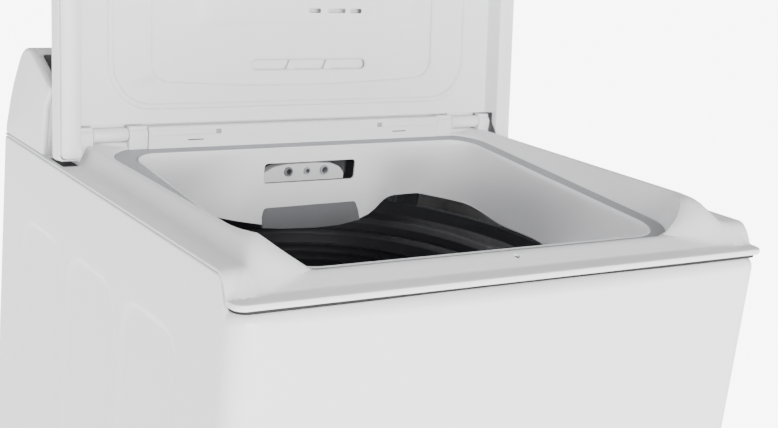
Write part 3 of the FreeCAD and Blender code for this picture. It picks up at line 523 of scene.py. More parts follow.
def lid_ring(half, low, high, radius, out, shift=0.0, sag=0.0):
    """A rounded rectangle in the lid's plane; sag lifts its lower edge towards both ends."""
    ring = []
    low_radius = mix(min(6.0, radius), radius, ease((low + 24) / 16))
    for x, up in plan(half, low, high, low_radius, radius):
        lift = sag * min(1.0, abs(x) / half) ** 2 * (1 - ease((up - low) / 60))
        ring.append(lid_point(x + shift, out, up + lift))
    return ring


def lid_block(name, low, high, bevel=0.0):
    """A block square to the lid, between two corners given as (x, out, up)."""
    obj = block(name, Vector(low) * MM, Vector(high) * MM, bevel * MM)
    obj.data.transform(Matrix.Translation(HINGE) @ Matrix.Rotation(-LEAN, 4, "X"))
    return obj


def lid_outline_cutter(half, low, high, radius, lip):
    """A pocket with a sloped edge all round, cut through the liner's floor."""
    wide = lip + 3
    rings = [lid_ring(half + wide, low - wide, high + wide, radius + wide, LINER_FLOOR - 3),
             lid_ring(half + lip, low - lip, high + lip, radius + lip, LINER_FLOOR),
             lid_ring(half, low, high, radius, LINER_FLOOR + lip * 0.8),
             lid_ring(half, low, high, radius, 14.0)]
    cutter = loft("pocket_cutter", rings, close_first=True, close_last=True)
    return face_outwards(cutter)


def make_lid():
    skin = loft("lid_shell", [lid_ring(*row) for row in (
        (330.0, -10, 446, 8, 10.5),
        (343.0, -23, 459, 17, 10.5),
        (345.6, -25.6, 461.6, 19.6, 9.8),
        (347.6, -27.6, 463.6, 21.4, 8.2),
        (348.7, -28.7, 464.7, 22.4, 5.8),
        (349.0, -29.0, 465.0, 22.7, 3.0),
        (349.0, -29.0, 465.0, 22.7, -12.0),
        (348.8, -28.8, 464.8, 22.5, -15.0),
        (348.2, -28.2, 464.2, 21.9, -16.4),
        (347.6, -27.6, 463.6, 21.3, -17.0),
    )], close_first=True)
    face_outwards(skin)
    add_modifier(skin, "SOLIDIFY", thickness=1.2 * MM, offset=-1.0)
    cut_away(skin, lid_block("window", (-321, -26, -60), (321, 9.3, 6)))
    dress(skin, ENAMEL, "lid", ["lid_outer_skin"], 30)
    return_lip = lid_block("lid_front_return", (-335, -50, 457.5), (335, -17, 461.4), 1.6)
    dress(return_lip, ENAMEL, "lid")

    liner = loft("lid_liner", [lid_ring(*row) for row in (
        (344.6, -24.6, 460.4, 18.6, -10.0),
        (344.6, -24.6, 460.4, 18.6, -15.4),
        (344.0, -24.0, 459.8, 18.2, -17.4),
        (342.0, -22.2, 458.0, 18, -18.8),
        (338.0, -20.0, 454.4, 18, -19.6),
        (331.0, -18.0, 448.0, 18, -20.0),
        (326.4, -17.0, 445.0, 18, -19.4),
        (323.4, -16.4, 442.0, 20, -17.8),
        (321.8, -16.0, 440.0, 22, -14.6),
        (318.6, -14.6, 437.0, 24, -2.0),
        (317.0, -13.0, 435.6, 25, 1.0),
        (314.4, -11.0, 433.0, 26, 2.6),
        (309.0, -9.0, 429.0, 27, 3.0),
        (278.4, 28.8, 399.0, 59, 3.0),
        (278.0, 29.2, 398.6, 58, 9.5),
        (276.4, 30.8, 397.0, 57, 9.5),
        (276.0, 31.2, 396.6, 57, 0.9),
        (275.0, 32.2, 395.6, 56, 0.0),
        (272.4, 34.8, 393.0, 54, 0.0),
        (271.5, 35.7, 392.1, 54, 0.7),
        (271.2, 36.0, 391.8, 53, 8.5),
        (269.8, 37.4, 390.4, 52, 8.5),
        (269.2, 38.0, 389.8, 52, 1.9),
        (219.0, 56.0, 373.6, 25, 1.9, 0, 8),
        (218.2, 56.8, 372.8, 25, 2.4, 0, 8),
        (217.8, 57.2, 372.4, 24, 11.0, 0, 8),
        (216.2, 58.8, 370.8, 24, 11.0, 0, 8),
        (215.4, 59.6, 370.0, 23, 4.8, 0, 8),
        (204.0, 71.0, 359.0, 20, 4.8, 0, 5),
        (176.0, 131.0, 330.0, 20, 4.8, 20),
        (171.0, 136.0, 325.0, 18, 3.9, 20),
        (165.0, 142.0, 319.0, 16, 1.0, 20),
        (160.0, 147.0, 314.0, 14, 0.2, 20),
        (120.0, 200.0, 262.0, 8, 0.0, 20),
    )], close_last=True)
    face_outwards(liner)
    add_modifier(liner, "SOLIDIFY", thickness=2.0 * MM, offset=1.0)
    cut_away(liner, lid_block("way_past_hinges", (-321, -60, -60), (321, 30, 12.5)))
    vents = lid_outline_cutter(87.0, 80.0, 88.0, 3.4, 2.0)
    vents.data.transform(Matrix.Translation((18 * MM, 0, 0)))
    cut_away(liner, vents)
    for x in (12, 42, 77):
        width = 28 if x == 42 else 19
        cut_away(liner, lid_block("short_slot", (x, -8, 152), (x + width, 12, 158), 2.0))
    dress(liner, MOULDED, "lid", ["lid_inner_panel"], 30)
    for x in (-11, 47):
        post = loft("vent_post", [
            [lid_point(x - 7, 7.0, 77.5), lid_point(x + 7, 7.0, 77.5), lid_point(x + 1.6, 7.0, 90),
             lid_point(x - 1.6, 7.0, 90)],
            [lid_point(x - 6, 5.0, 78.0), lid_point(x + 6, 5.0, 78.0), lid_point(x + 0.8, 5.0, 89.4),
             lid_point(x - 0.8, 5.0, 89.4)]], close_first=True, close_last=True)
        dress(face_outwards(post), MOULDED, "lid")

    # Thin dark blocks on the front of the lid's legs: painted shade standing in for the shaded slits there.
    for number, side in enumerate((-1, 1)):
        low_x, high_x = span(side, 337.6, 339.4)
        slit_shade = lid_block("leg_slit_shade_%d" % number, (low_x, -20.3, -22), (high_x, -19.0, 3), 0.4)
        dress(slit_shade, DARK_GREY_AND_PAINTED_SHADE, "lid")

    strike = spun("strike_pin", profile_mm([(0, -42), (2.6, -42), (3.0, -18), (5, 0), (0, 0)], {1: 1.5}),
                  steps=32)
    reach = HINGE.y / MM + 286
    strike.data.transform(Matrix.Translation(lid_point(11, 3.0, reach)) @ Matrix.Rotation(-LEAN, 4, "X")
                          @ Matrix.Rotation(math.radians(-90), 4, "X"))
    dress(strike, ACETAL, "lid", nodes=["lid_strike"])
    for number, side in enumerate((-1, 1)):
        pad = spun("closing_pad_%d" % number, profile_mm([(0, 12), (5, 12), (5, 0)], {1: 2}), steps=32)
        pad.data.transform(Matrix.Translation(lid_point(side * 334, -19.4, 405))
                           @ Matrix.Rotation(math.radians(90) - LEAN, 4, "X")
                           @ Matrix.Translation((0, 0, -2 * MM)))
        dress(pad, RUBBER, "lid", nodes=["lid_bumpers"])


def hinge_barrel(name, start, end, radius, soften=0.9):
    """A cylinder about the hinge line with its end edges rounded."""
    bpy.ops.object.select_all(action="DESELECT")
    bpy.ops.mesh.primitive_cylinder_add(vertices=48, radius=radius * MM, depth=abs(end - start) * MM,
                                        location=(0, 0, 0))
    obj = bpy.context.active_object
    obj.name = name
    turn = Matrix.Rotation(math.radians(90), 4, "Y")
    obj.data.transform(Matrix.Translation(HINGE + Vector(((start + end) / 2 * MM, 0, 0))) @ turn)
    add_modifier(obj, "BEVEL", width=soften * MM, segments=3, limit_method="ANGLE")
    return obj


def joined(name, *objs):
    bpy.ops.object.select_all(action="DESELECT")
    for obj in objs:
        obj.select_set(True)
    bpy.context.view_layer.objects.active = objs[0]
    bpy.ops.object.join()
    objs[0].name = name
    return objs[0]


def make_hinges():
    for number, side in enumerate((-1, 1)):
        eyes = []
        for start, end in ((226, 251.6), (300.2, 319)):
            eyes.append(hinge_barrel("eye", side * start, side * end, 8.5))
            low_x, high_x = span(side, start, end)
            eyes.append(block("stem", (low_x * MM, HINGE.y - 8.4 * MM, DECK - 1 * MM),
                              (high_x * MM, HINGE.y + 7 * MM, HINGE.z), 1.0 * MM))
            eyes.append(block("brow", (low_x * MM, HINGE.y - 5 * MM, HINGE.z),
                              (high_x * MM, HINGE.y + 5 * MM, HINGE.z + 10.4 * MM), 1.6 * MM))
        dress(joined("hinge_eyes_%d" % number, *eyes), MOULDED, "root",
              ["deck_hinge_knuckles"])
        barrel = hinge_barrel("barrel", side * 252.4, side * 299.4, 8.4)
        low_x, high_x = span(side, 252.4, 299.4)
        arm = lid_block("arm", (low_x, 5.6, -1), (high_x, 9.2, 15), 0.8)
        dress(joined("hinge_barrel_%d" % number, barrel, arm), MOULDED, "lid",
              ["lid_hinge_barrels"])
        cover = hinge_barrel("strip_%d" % number, side * 130, side * 224, 7.6, 2.0)
        cover.data.transform(Matrix.Translation((0, -2.2 * MM, 0.6 * MM)))
        dress(cover, MOULDED, "root")
        end_cap = hinge_barrel("strip_end_%d" % number, side * 122, side * 129.6, 7.2, 0.6)
        end_cap.data.transform(Matrix.Translation((0, -2.0 * MM, 0.6 * MM)))
        dress(end_cap, SEAL, "root")
        # A thin dark strip on the front of each hinge's strip cover: painted shade standing in for the shaded
        # opening of a drain slot.
        low_x, high_x = span(side, 148, 170)
        drain_slot_shade_strip = block("drain_slot_shade_%d" % number, (low_x * MM, HINGE.y - 9.9 * MM, HINGE.z - 8.6 * MM),
                     (high_x * MM, HINGE.y - 6 * MM, HINGE.z - 7.4 * MM))
        dress(drain_slot_shade_strip, DARK_GREY_AND_PAINTED_SHADE, "root")
    foot = (DECK - HINGE.z) / MM - 2
    rail_profile = rounded([(-9.6, foot), (-9.2, -4), (-7.4, 9.0), (4.6, 10.0), (8.0, foot)],
                           {1: 4, 2: 3, 3: 5})
    rings = [[HINGE + Vector((x, p[0], p[1])) * MM for p in rail_profile] for x in (-225, -120, 0, 120, 225)]
    rail = loft("hinge_rail", rings, close_first=True, close_last=True)
    dress(face_outwards(rail), MOULDED, "root")


# ---- cabinet: columns run round the sides and the bowed front, each one a vertical section

PRESSING_MIDS = (-146.5, 12.5, 171.5)
PRESSING_HALF = 67.5
PRESSING_LOW, PRESSING_HIGH = 150.0, 832.0
PRESSING_CORNER = 38.0
PRESSING_DEPTH = 3.0
FOLD = (-9, -6.5, -4.5, -3, -1.5, 0, 1.5, 3, 4.5, 6.5, 9)


def column_plan():
    """Points (x, y) and outward directions from the rear left edge round the front to the rear right edge."""
    half, front, radius, bow = 349.0, 324.0, 25.0, 8.0
    ys = [-299.0, -297.0, -295.0, -292.5, -290.0, -287.0, -274.0, 298.0, 310.0, 320.0]
    for mid in PRESSING_MIDS:
        ys += [mid + s * PRESSING_HALF + d for s in (-1, 1) for d in FOLD]
        ys += [mid + s * d for s in (-1, 1) for d in (53, 47, 41, 35, 29, 20)] + [mid]
    ys = sorted(set(ys))
    left = [((-half + 18, front - 1.5), (0, 1)), ((-half + 4, front - 1.5), (0, 1)),
            ((-half + 1.2, front - 2.6), (-0.7, 0.7))]
    left += [((-half, y), (-1, 0)) for y in reversed(ys)]
    arc = []
    for i in range(1, 14):
        a = math.radians(180 + 90 * i / 14)
        out = (math.cos(a), math.sin(a))
        arc.append(((-half + radius + radius * out[0], -front + radius + radius * out[1]), out))
    across = []
    for i in range(25):
        x = mix(-half + radius, half - radius, i / 24)
        lean = 2 * bow * x / (half - radius) ** 2
        length = math.hypot(lean, 1)
        across.append(((x, -front - bow * (1 - (x / (half - radius)) ** 2)), (lean / length, -1 / length)))
    right = [((-x, y), (-u, v)) for (x, y), (u, v) in reversed(left + arc)]
    return left + arc + across + right


def pressed_in(y, z):
    """Depth of the three tall shallow pressings in a side, at a point of it, in millimetres."""
    middle, half_height = (PRESSING_LOW + PRESSING_HIGH) / 2, (PRESSING_HIGH - PRESSING_LOW) / 2
    depth = 0.0
    for mid in PRESSING_MIDS:
        across = abs(y - mid) - (PRESSING_HALF - PRESSING_CORNER)
        along = abs(z - middle) - (half_height - PRESSING_CORNER)
        outside = math.hypot(max(across, 0), max(along, 0)) + min(max(across, along), 0) - PRESSING_CORNER
        depth = max(depth, PRESSING_DEPTH * ease(0.5 - outside / 10))
    return depth


def cabinet_rows():
    rows = [60.0, 100.0, 130.0]
    for edge, into in ((PRESSING_LOW, 1), (PRESSING_HIGH, -1)):
        rows += [edge + into * d for d in FOLD + (13, 18, 23, 28, 34, 41)]
    rows += [240.0, 340.0, 440.0, 540.0, 640.0, 740.0, 856.0]
    return sorted(rows)


def make_cabinet():
    points, faces = [], []
    rows = cabinet_rows()
    columns = column_plan()
    for (x, y), (u, v) in columns:
        forward = ease((-287 - y) / 16)
        top = mix(922.6, 894.6, forward)
        shoulder = mix(2.0, 15.0, forward)
        stations = [(9.0, 32.6), (2.4, 32.6), (0.7, 33.3), (0.0, 35.0)] + [(0.0, z) for z in rows]
        for i in range(9):
            a = math.radians(90 * i / 8)
            stations.append((shoulder * (1 - math.cos(a)), top - shoulder * (1 - math.sin(a))))
        stations.append((shoulder + 10, top))
        for inward, z in stations:
            if u * u > 0.98 and inward == 0:
                inward = pressed_in(y, z)
            points.append(Vector(((x - u * inward) * MM, (y - v * inward) * MM, z * MM)))
    tall = len(points) // len(columns)
    for i in range(len(columns) - 1):
        for j in range(tall - 1):
            faces.append((i * tall + j, (i + 1) * tall + j, (i + 1) * tall + j + 1, i * tall + j + 1))
    shell = new_mesh("cabinet_shell", points, faces)
    face_outwards(shell)
    if shell.data.polygons[len(faces) // 2].normal.y > 0:
        shell.data.flip_normals()
    add_modifier(shell, "SOLIDIFY", thickness=1.0 * MM, offset=-1.0)
    dress(shell, ENAMEL, "root", ["cabinet_wrap"], 35)


def make_rear_panel():
    """Sheet with shallow pressed ribs across it and holes for the ports."""
    xs = [-347.5 + 695.0 * i / 60 for i in range(61)]
    ribs = (180, 300, 420, 540, 660)
    zs = sorted(set([52.0 + 865.0 * i / 60 for i in range(61)]
                    + [rib + d for rib in ribs for d in (-14, -11, -8, -5, 5, 8, 11, 14)]))
    points, faces = [], []
    for z in zs:
        for x in xs:
            raised = 0.0
            for rib in ribs:
                reach = math.hypot(max(abs(x) - 270, 0), z - rib)
                raised = max(raised, 5.0 * ease((15 - reach) / 9))
            points.append((x * MM, (312.4 + raised) * MM, z * MM))
    wide = len(xs)
    for i in range(len(zs) - 1):
        for j in range(wide - 1):
            faces.append((i * wide + j + 1, i * wide + j, (i + 1) * wide + j, (i + 1) * wide + j + 1))
    panel = new_mesh("rear_sheet", points, faces)
    add_modifier(panel, "SOLIDIFY", thickness=1.0 * MM, offset=-1.0)
    for x, z, radius in ((105, 850, 14), (155, 850, 14), (-300, 840, 16), (240, 850, 9.5)):
        cut_away(panel, lay_back(rod("port_hole", radius, -20, 20), x * MM, 312 * MM, z * MM))
    dress(panel, ZINC, "root", ["rear_panel"], 35)


# ---- control console

FACE_TILT = math.atan2(34, 70)
FACE_FRAME = Matrix.Translation((0, 165 * MM, DECK + 90 * MM)) @ Matrix.Rotation(FACE_TILT, 4, "X")


def console_section():
    up = DECK / MM
    corners = [(186, 0.3), (321.5, 0.3), (320, 12), (303, 66), (259, 135.66), (165, 90), (164, 85), (169, 77),
               (180, 62)]
    radii = {1: 2, 2: 8, 3: 200, 4: 40, 5: 3, 6: 2, 7: 5, 8: 14}
    return [Vector((p[0], p[1] + up)) for p in rounded(corners, radii, 9)]


def console_piece(name, stations):
    """Skin the console's section through (x, shrink) stations, shrinking it towards its middle."""
    section = console_section()
    middle = Vector((246, DECK / MM + 55))
    rings = []
    for x, shrink in stations:
        ring = []
        for p in section:
            into = middle - p
            level = max(p.y + into.y / into.length * shrink, DECK / MM + 0.3)
            ring.append(Vector((x, p.x + into.x / into.length * shrink, level)) * MM)
        rings.append(ring)
    return face_outwards(loft(name, rings, close_first=True, close_last=True))


def on_face(obj, x, along, out):
    """Move a piece made flat at the origin to a place on the console's sloped face, in millimetres."""
    obj.data.transform(FACE_FRAME @ Matrix.Translation((x * MM, along * MM, out * MM)))
    return obj


def rounded_plate(name, wide, long, thick, radius, bevel):
    """A flat plate with round corners, its middle at the origin and its underside at zero."""
    ring = plan(wide / 2, -long / 2, long / 2, radius, radius)
    rings = [[Vector((x * MM, y * MM, 0)) for x, y in ring],
             [Vector((x * MM, y * MM, (thick - bevel) * MM)) for x, y in ring]]
    for inward, height in ((0.3, 0.7), (1.0, 1.0)):
        ring = plan(wide / 2 - bevel * inward, -long / 2 + bevel * inward, long / 2 - bevel * inward,
                    radius - bevel * inward, radius - bevel * inward)
        rings.append([Vector((x * MM, y * MM, (thick - bevel + bevel * height) * MM)) for x, y in ring])
    return face_outwards(loft(name, rings, close_first=True, close_last=True))


KEYS = {"power": -70.0, "start": -28.0, "water_level": 14.0, "soak": 56.0}
KNOB_X = 205.0
KEY_LINE = 36.0


def key_well(obj):
    """Cut the four keys' openings, a little wider than the keys, so that each can be pressed in."""
    for x in KEYS.values():
        cut_away(obj, on_face(rounded_plate("well_cutter", 24.8, 12.8, 12.0, 4.6, 0.5), x, KEY_LINE, -7.0))


def make_console():
    body = console_piece("console_shell", [(-340.7, 0.3), (-340.4, 0), (340.4, 0), (340.7, 0.3)])
    key_well(body)
    dress(body, MOULDED, "root", ["console_housing"], 35)
    for side, name in ((-1, "left"), (1, "right")):
        stations = [(341.2, 0.4), (341.6, 0)] + [(349 - 5 * (1 - math.sin(math.radians(a))),
                                                 5 * (1 - math.cos(math.radians(a)))) for a in range(0, 91, 15)]
        stations = [(side * x, shrink) for x, shrink in stations]
        cap = console_piece("end_cap_" + name, stations)
        dress(cap, MOULDED, "root", ["console_end_cap_" + name], 35)

    trim = on_face(rounded_plate("fascia_trim", 681, 66, 1.4, 5, 0.6), 0, 35, 0.0)
    key_well(trim)
    dress(trim, ACETAL, "root")
    glass = on_face(rounded_plate("fascia_glass", 674, 60, 2.6, 3.5, 0.8), 0, 35, 0.2)
    key_well(glass)
    dress(glass, FASCIA, "root", ["control_panel"], 35)

    knurls = 48
    section = [(20.6, 0), (20.6, 2.2), (18.2, 3.4), (18.0, 13.6), (16.6, 15.2), (13.0, 15.6)]
    rings = []
    for radius, height in section:
        ring = []
        for i in range(knurls * 4):
            a = 2 * math.pi * i / (knurls * 4)
            grip = 0.45 if 3 < height < 14 and i % 4 in (1, 2) else 0.0
            ring.append(Vector(((radius - grip) * math.cos(a), (radius - grip) * math.sin(a), height)) * MM)
        rings.append(ring)
    knob = face_outwards(loft("selector_knob", rings, close_first=True, close_last=True))
    on_face(knob, KNOB_X, KEY_LINE, 3.6)
    dress(knob, ACETAL, "knob", ["cycle_knob"], 40)
    pointer = on_face(rounded_plate("knob_pointer", 2.0, 8.0, 0.5, 0.9, 0.2), KNOB_X, KEY_LINE + 11, 19.0)
    dress(pointer, DARK_GREY_AND_PAINTED_SHADE, "knob")
    for i in range(16):
        a = math.radians(-150 + 20 * i)
        tick = rounded_plate("dial_tick_%02d" % i, 1.2, 4.0, 0.25, 0.4, 0.1)
        tick.data.transform(Matrix.Rotation(-a, 4, "Z") @ Matrix.Translation((0, 25.5 * MM, 0)))
        dress(on_face(tick, KNOB_X, KEY_LINE, 2.8), PRINT, "root")
    for name, x in KEYS.items():
        key = on_face(rounded_plate(name + "_key", 23.6, 11.6, 5.0, 4, 1.2), x, KEY_LINE, 0.4)
        dress(key, GREY, name + "_button", [name + "_button"], 40)
        lamp = on_face(rounded_plate(name + "_lamp", 4.0, 1.6, 0.25, 0.6, 0.1), x, 51, 2.8)
        dress(lamp, PRINT, "root")
        mark = on_face(rounded_plate(name + "_mark", 12.0, 1.2, 0.25, 0.4, 0.1), x, 22, 2.8)
        dress(mark, PRINT, "root")
    window = on_face(rounded_plate("display_window", 70, 30, 0.3, 3, 0.1), -165, KEY_LINE, 2.8)
    dress(window, DARK_GREY_AND_PAINTED_SHADE, "root")


# ---- what shows inside the mouth

NOZZLE_LEVEL = DECK - 19.4 * MM


def wall_moulding(name, outline, middle, stations):
    """A piece on the nozzle wall: its outline (x, height) through (out, shrink) stations."""
    rings = []
    for out, shrink in stations:
        ring = []
        for p in outline:
            into = (middle - p).normalized()
            ring.append(Vector((p.x + into.x * shrink, MOUTH_BACK + out,
                                p.y + into.y * shrink + DECK / MM)) * MM)
        rings.append(ring)
    return face_outwards(loft(name, rings, close_first=True, close_last=True))


def make_nozzles():
    """Spray head: an oval-ended bezel in the deck's slot with three round jets."""
    wall = MOUTH_BACK
    # Dark box behind the deck's slot: a real hollow, coloured dark as painted shade for its inside.
    pocket = block("spray_pocket_shade", at(-69, wall + 2, -36), at(80, wall + 26, -5), 2 * MM)
    cut_away(pocket, block("hollow", at(-66.5, wall - 4, -33.5), at(76.5, wall + 23, -7.5), 4 * MM))
    dress(pocket, DARK_GREY_AND_PAINTED_SHADE, "root")
    outline = rounded([(-66, -33), (-66, -20), (-52, -12.4), (-32, -9.2), (14, -8.8), (38, -10.6), (52, -16),
                       (60, -25), (60, -33)], {1: 5, 2: 30, 3: 40, 4: 60, 5: 26, 6: 18, 7: 12}, 6)
    head = wall_moulding("spray_head", outline, Vector((-3, -21)),
                         ((14.0, 0.0), (3.0, 0.0), (1.6, 0.5), (0.8, 1.6)))
    for x, radius in ((-29, 5.6), (0, 4.4), (27, 5.8)):
        bore = rod("bore", radius, -6, 8, steps=40)
        cut_away(head, lay_back(bore, x * MM, (wall + 2) * MM, NOZZLE_LEVEL))
    dress(head, ACETAL, "root", ["nozzle_housing"], 20)
    for number, (x, radius, bore) in enumerate(((-29, 6.4, 3.8), (0, 5.0, 2.8), (27, 6.6, 4.4))):
        section = [(bore, -4), (bore, 3.2), (bore + 0.5, 3.8), (radius - 0.5, 3.8), (radius, 3.0), (radius, -4)]
        jet = spun("jet_%d" % number, profile_mm(section, {}), steps=48)
        # A dark disc deep in each jet's bore: painted shade for the inside of the bore.
        bore_shade_disc = rod("jet_bore_%d" % number, bore + 0.2, -3, -4)
        for piece in (jet, bore_shade_disc):
            lay_back(piece, x * MM, (wall + 1.6) * MM, NOZZLE_LEVEL)
        dress(jet, GREY if number == 0 else SEAL, "root", nodes=["spray_nozzles"] if number == 0 else ())
        dress(bore_shade_disc, DARK_GREY_AND_PAINTED_SHADE, "root")
    outline = rounded([(12, -66.6), (82, -66), (88, -78), (93, -93.0), (60, -98.4), (20, -99.8), (-30, -97.6),
                       (-62, -94.6), (-64, -80), (-62, -67.4), (10, -66.7)],
                      {1: 6, 2: 8, 4: 40, 5: 40, 6: 30, 8: 6, 9: 6}, 5)
    insert = wall_moulding("rear_insert", outline, Vector((12, -80)),
                           ((3.0, 0.0), (-0.4, 0.0), (-0.9, 0.5), (-1.0, 1.2)))
    dress(insert, GREY, "root", ["rear_insert_panel"], 15)


def make_tub_parts():
    section = [(232.5, -143), (232.5, -121), (236, -113), (243, -111), (250, -113.5), (254, -121), (270, -123),
               (277.6, -114), (277.8, -96.5), (279.2, -94.5), (280.6, -96.5), (280.6, -147), (276.5, -147),
               (275, -119), (269, -126), (252, -124), (248, -116), (241, -115), (236, -121), (236, -143)]
    radii = {1: 3, 2: 3, 3: 3, 4: 3, 5: 2, 6: 2, 7: 3, 13: 2, 14: 3, 15: 3, 16: 2, 17: 2}
    collar = spun("tub_collar", profile_mm(section, radii), (0, 0, DECK), 160)
    dress(collar, CHARCOAL, "tub", ["tub_ring"])
    section = [(217.5, -211), (217.5, -206)]
    for level in (-200, -189, -177, -165, -153):
        section += [(217.5, level - 1.4), (214.6, level - 0.9), (214.6, level + 0.9), (217.5, level + 1.4)]
    section += [(217.5, -138), (221, -131.5), (226, -131.5), (228, -135), (228, -211)]
    radii = {i: 0.6 for i in range(1, len(section) - 1)}
    ring = spun("balance_ring_moulding", profile_mm(section, radii, 2), (0, 0, DECK), 160)
    dress(ring, CHARCOAL, "basket", ["balance_ring"])

    section = [(0, 301), (14, 300), (22, 294), (44, 277), (70, 268), (130, 266), (152, 262), (159, 257),
               (150, 250.5), (0, 250.5)]
    radii = {1: 4, 2: 6, 3: 20, 4: 20, 5: 20, 6: 4, 7: 3}
    plate = spun("pulsator", profile_mm(section, radii), steps=120)
    dress(plate, GREY, "wash_drive", ["wash_plate"])
    for number in range(6):
        rings = []
        for i in range(17):
            t = i / 16
            reach, sweep = mix(34, 146, t), math.radians(60 * number + 16 * math.sin(t * 1.6))
            height = 262 + 24 * math.sin(math.pi * min(1.0, 0.16 + 0.84 * t)) ** 0.7
            width = mix(9, 6.5, t)
            ring = []
            for k in range(13):
                a = math.pi * k / 12
                side, top = width * math.cos(a), (height - 258) * math.sin(a) ** 0.8
                x, y = reach, side
                ring.append(Vector((x * math.cos(sweep) - y * math.sin(sweep),
                                    x * math.sin(sweep) + y * math.cos(sweep), 258 + top)) * MM)
            rings.append(ring)
        fin = face_outwards(loft("pulsator_fin_%d" % number, rings, close_first=True, close_last=True))
        dress(fin, GREY, "wash_drive")


def make_basket():
    """Perforated drum: chosen grid points of a cylinder, in staggered rows, become eight-sided holes."""
    around_count, levels = 72, 22
    points, faces = [], []
    for level in range(levels * 2 + 1):
        for i in range(around_count * 2):
            a = math.pi * i / around_count
            z = mix(282, 690, level / (levels * 2))
            points.append(Vector((225.4 * math.cos(a), 225.4 * math.sin(a), z)) * MM)
    wide = around_count * 2
    for level in range(levels * 2):
        for i in range(wide):
            k = (i + 1) % wide
            faces.append((level * wide + i, level * wide + k, (level + 1) * wide + k, (level + 1) * wide + i))
    drum = new_mesh("drum_wall", points, faces)
    grid = bmesh.new()
    grid.from_mesh(drum.data)
    grid.verts.ensure_lookup_table()
    chosen = [grid.verts[level * wide + i] for level in range(1, levels * 2) for i in range(wide)
              if (level % 4 == 1 and i % 4 == 0) or (level % 4 == 3 and i % 4 == 2)]
    made = bmesh.ops.bevel(grid, geom=chosen, offset=4.2 * MM, segments=2, profile=0.5, affect="VERTICES")
    holes = [face for face in grid.faces if face.calc_area() < 60 * MM * MM and len(face.verts) <= 4
             and face in made["faces"]]
    bmesh.ops.delete(grid, geom=holes, context="FACES")
    grid.to_mesh(drum.data)
    grid.free()
    face_outwards(drum)
    add_modifier(drum, "SOLIDIFY", thickness=0.8 * MM, offset=0.0)
    dress(drum, STAINLESS, "basket", ["basket"], 40)
    section = [(39, 240.4), (206, 240.4), (225.8, 262), (225.8, 282), (224.8, 282), (224.8, 262),
               (205.6, 241.6), (39, 241.6), (39, 240.4)]
    floor = spun("drum_floor", profile_mm(section, {1: 16, 2: 6, 5: 6, 6: 16}), steps=144)
    dress(floor, STAINLESS, "basket")
    section = [(225.0, 690), (226.0, 690), (227.2, 694), (226.0, 698), (226.0, 714), (225.0, 714), (225.0, 698),
               (226.2, 694), (225.0, 690)]
    band = spun("drum_rim_band", profile_mm(section, {2: 2, 3: 2, 6: 2, 7: 2}), steps=144)
    dress(band, STAINLESS, "basket")


def make_suspension():
    for number, (sx, sy) in enumerate(((-1, -1), (1, -1), (-1, 1), (1, 1))):
        centre = Vector((sx * 250, sy * 245, 0)) * MM
        turns, low, high = 9, 174.0, 260.0
        rings = []
        count = turns * 28
        for i in range(count + 1):
            t = i / count
            a = 2 * math.pi * turns * t
            flat = ease(t / 0.1) * ease((1 - t) / 0.1)
            z = mix(low, high, t) * flat + (low if t < 0.5 else high) * (1 - flat)
            out = Vector((math.cos(a), math.sin(a), 0))
            ring = [centre + out * (15.4 + 1.9 * math.cos(b)) * MM + Vector((0, 0, z + 1.9 * math.sin(b))) * MM
                    for b in [2 * math.pi * k / 10 for k in range(10)]]
            rings.append(ring)
        spring = face_outwards(loft("suspension_spring_%d" % number, rings, close_first=True, close_last=True))
        dress(spring, STEEL, None, ["suspension_springs"], 40)
        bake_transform(spring)


# ---- light, floor and camera: the floor and the backdrop are seen far brighter than they light the machine

BACKDROP_SEEN = 10.0
BACKDROP_LIGHT_LEVEL, BACKDROP_LIGHT_ABOVE = 1.3, 0.4
FLOOR_LIGHT, FLOOR_SEEN = 2.3, 7.5

def area_light(name, place, aim, size, power):
    light = bpy.data.lights.new(name, "AREA")
    light.shape = "RECTANGLE"
    light.size, light.size_y = size
    light.energy = power
    obj = bpy.data.objects.new(name, light)
    bpy.context.scene.collection.objects.link(obj)
    obj.location = place
    obj.rotation_euler = (Vector(aim) - Vector(place)).to_track_quat("-Z", "Y").to_euler()
    return obj


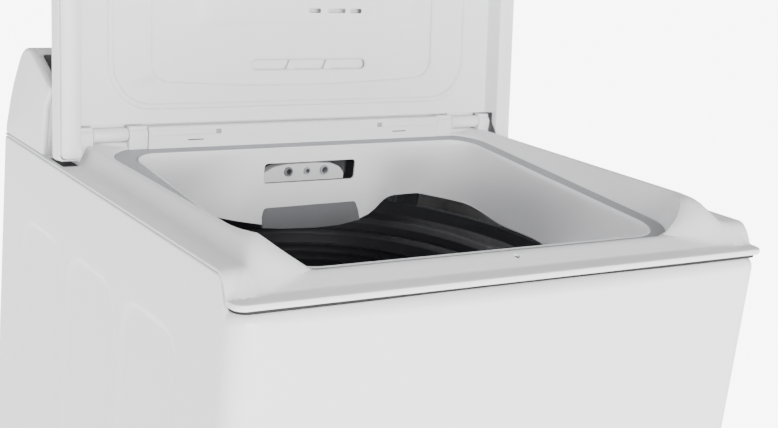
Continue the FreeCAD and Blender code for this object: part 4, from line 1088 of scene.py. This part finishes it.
def make_studio():
    world = bpy.data.worlds.new("studio")
    bpy.context.scene.world = world
    world.use_nodes = True
    tree = world.node_tree
    seen = tree.nodes["Background"]
    seen.inputs["Color"].default_value = (1, 1, 1, 1)
    seen.inputs["Strength"].default_value = BACKDROP_SEEN
    place = node(tree, "ShaderNodeTexCoord")
    height = node(tree, "ShaderNodeSeparateXYZ", {}, {0: place.outputs["Generated"]})
    fade = node(tree, "ShaderNodeMapRange",
                {"From Min": 0.0, "From Max": 0.8, "To Min": BACKDROP_LIGHT_LEVEL, "To Max": BACKDROP_LIGHT_ABOVE},
                {"Value": height.outputs["Z"]})
    lit = node(tree, "ShaderNodeBackground", {"Color": (1, 1, 1, 1)}, {"Strength": fade.outputs["Result"]})
    ray = node(tree, "ShaderNodeLightPath")
    both = node(tree, "ShaderNodeMixShader", {}, {0: ray.outputs["Is Camera Ray"], 1: lit.outputs[0],
                                                  2: seen.outputs[0]})
    tree.links.new(both.outputs[0], tree.nodes["World Output"].inputs["Surface"])
    bpy.ops.object.select_all(action="DESELECT")
    bpy.ops.mesh.primitive_plane_add(size=60, location=(0, 0, 0))
    floor = bpy.context.active_object
    floor.name = "studio_floor"
    pale = finish("pale_floor", "#F0F0F0", 0.7, 4.0, 0.01, Emission_Color=linear("#FFFFFF"))
    tree = pale.node_tree
    ray = node(tree, "ShaderNodeLightPath")
    glow = node(tree, "ShaderNodeMapRange", {"To Min": FLOOR_LIGHT, "To Max": FLOOR_SEEN},
                {"Value": ray.outputs["Is Camera Ray"]})
    tree.links.new(glow.outputs["Result"], tree.nodes["Principled BSDF"].inputs["Emission Strength"])
    floor.data.materials.append(pale)
    area_light("front_softbox", (-0.3, -4.2, 1.6), (0, 0, 0.9), (3.0, 1.6), 260)
    area_light("left_softbox", (-4.0, -0.5, 1.8), (0, 0, 0.8), (2.4, 2.0), 4)


def make_camera():
    camera = bpy.data.cameras.new("view")
    camera.sensor_width = 36
    camera.clip_start = 0.05
    obj = bpy.data.objects.new("view", camera)
    bpy.context.scene.collection.objects.link(obj)
    bpy.context.scene.camera = obj
    place = Vector((-0.896, -1.252, DECK + 0.357))
    yaw, pitch, roll = math.radians(27.4), math.radians(14.7), math.radians(3.8)
    camera.lens = 58.072
    camera.shift_x, camera.shift_y = 0.27, -0.02
    ahead = Vector((math.sin(yaw) * math.cos(pitch), math.cos(yaw) * math.cos(pitch), -math.sin(pitch)))
    level = Vector((math.cos(yaw), -math.sin(yaw), 0))
    above = level.cross(ahead)
    right = level * math.cos(roll) + above * math.sin(roll)
    up = above * math.cos(roll) - level * math.sin(roll)
    obj.matrix_world = Matrix.Translation(place) @ Matrix((right, up, -ahead)).transposed().to_4x4()


dress_cad_nodes()
make_deck()
make_lid()
make_hinges()
make_cabinet()
make_rear_panel()
make_console()
make_nozzles()
make_tub_parts()
make_basket()
make_suspension()
make_studio()
make_camera()
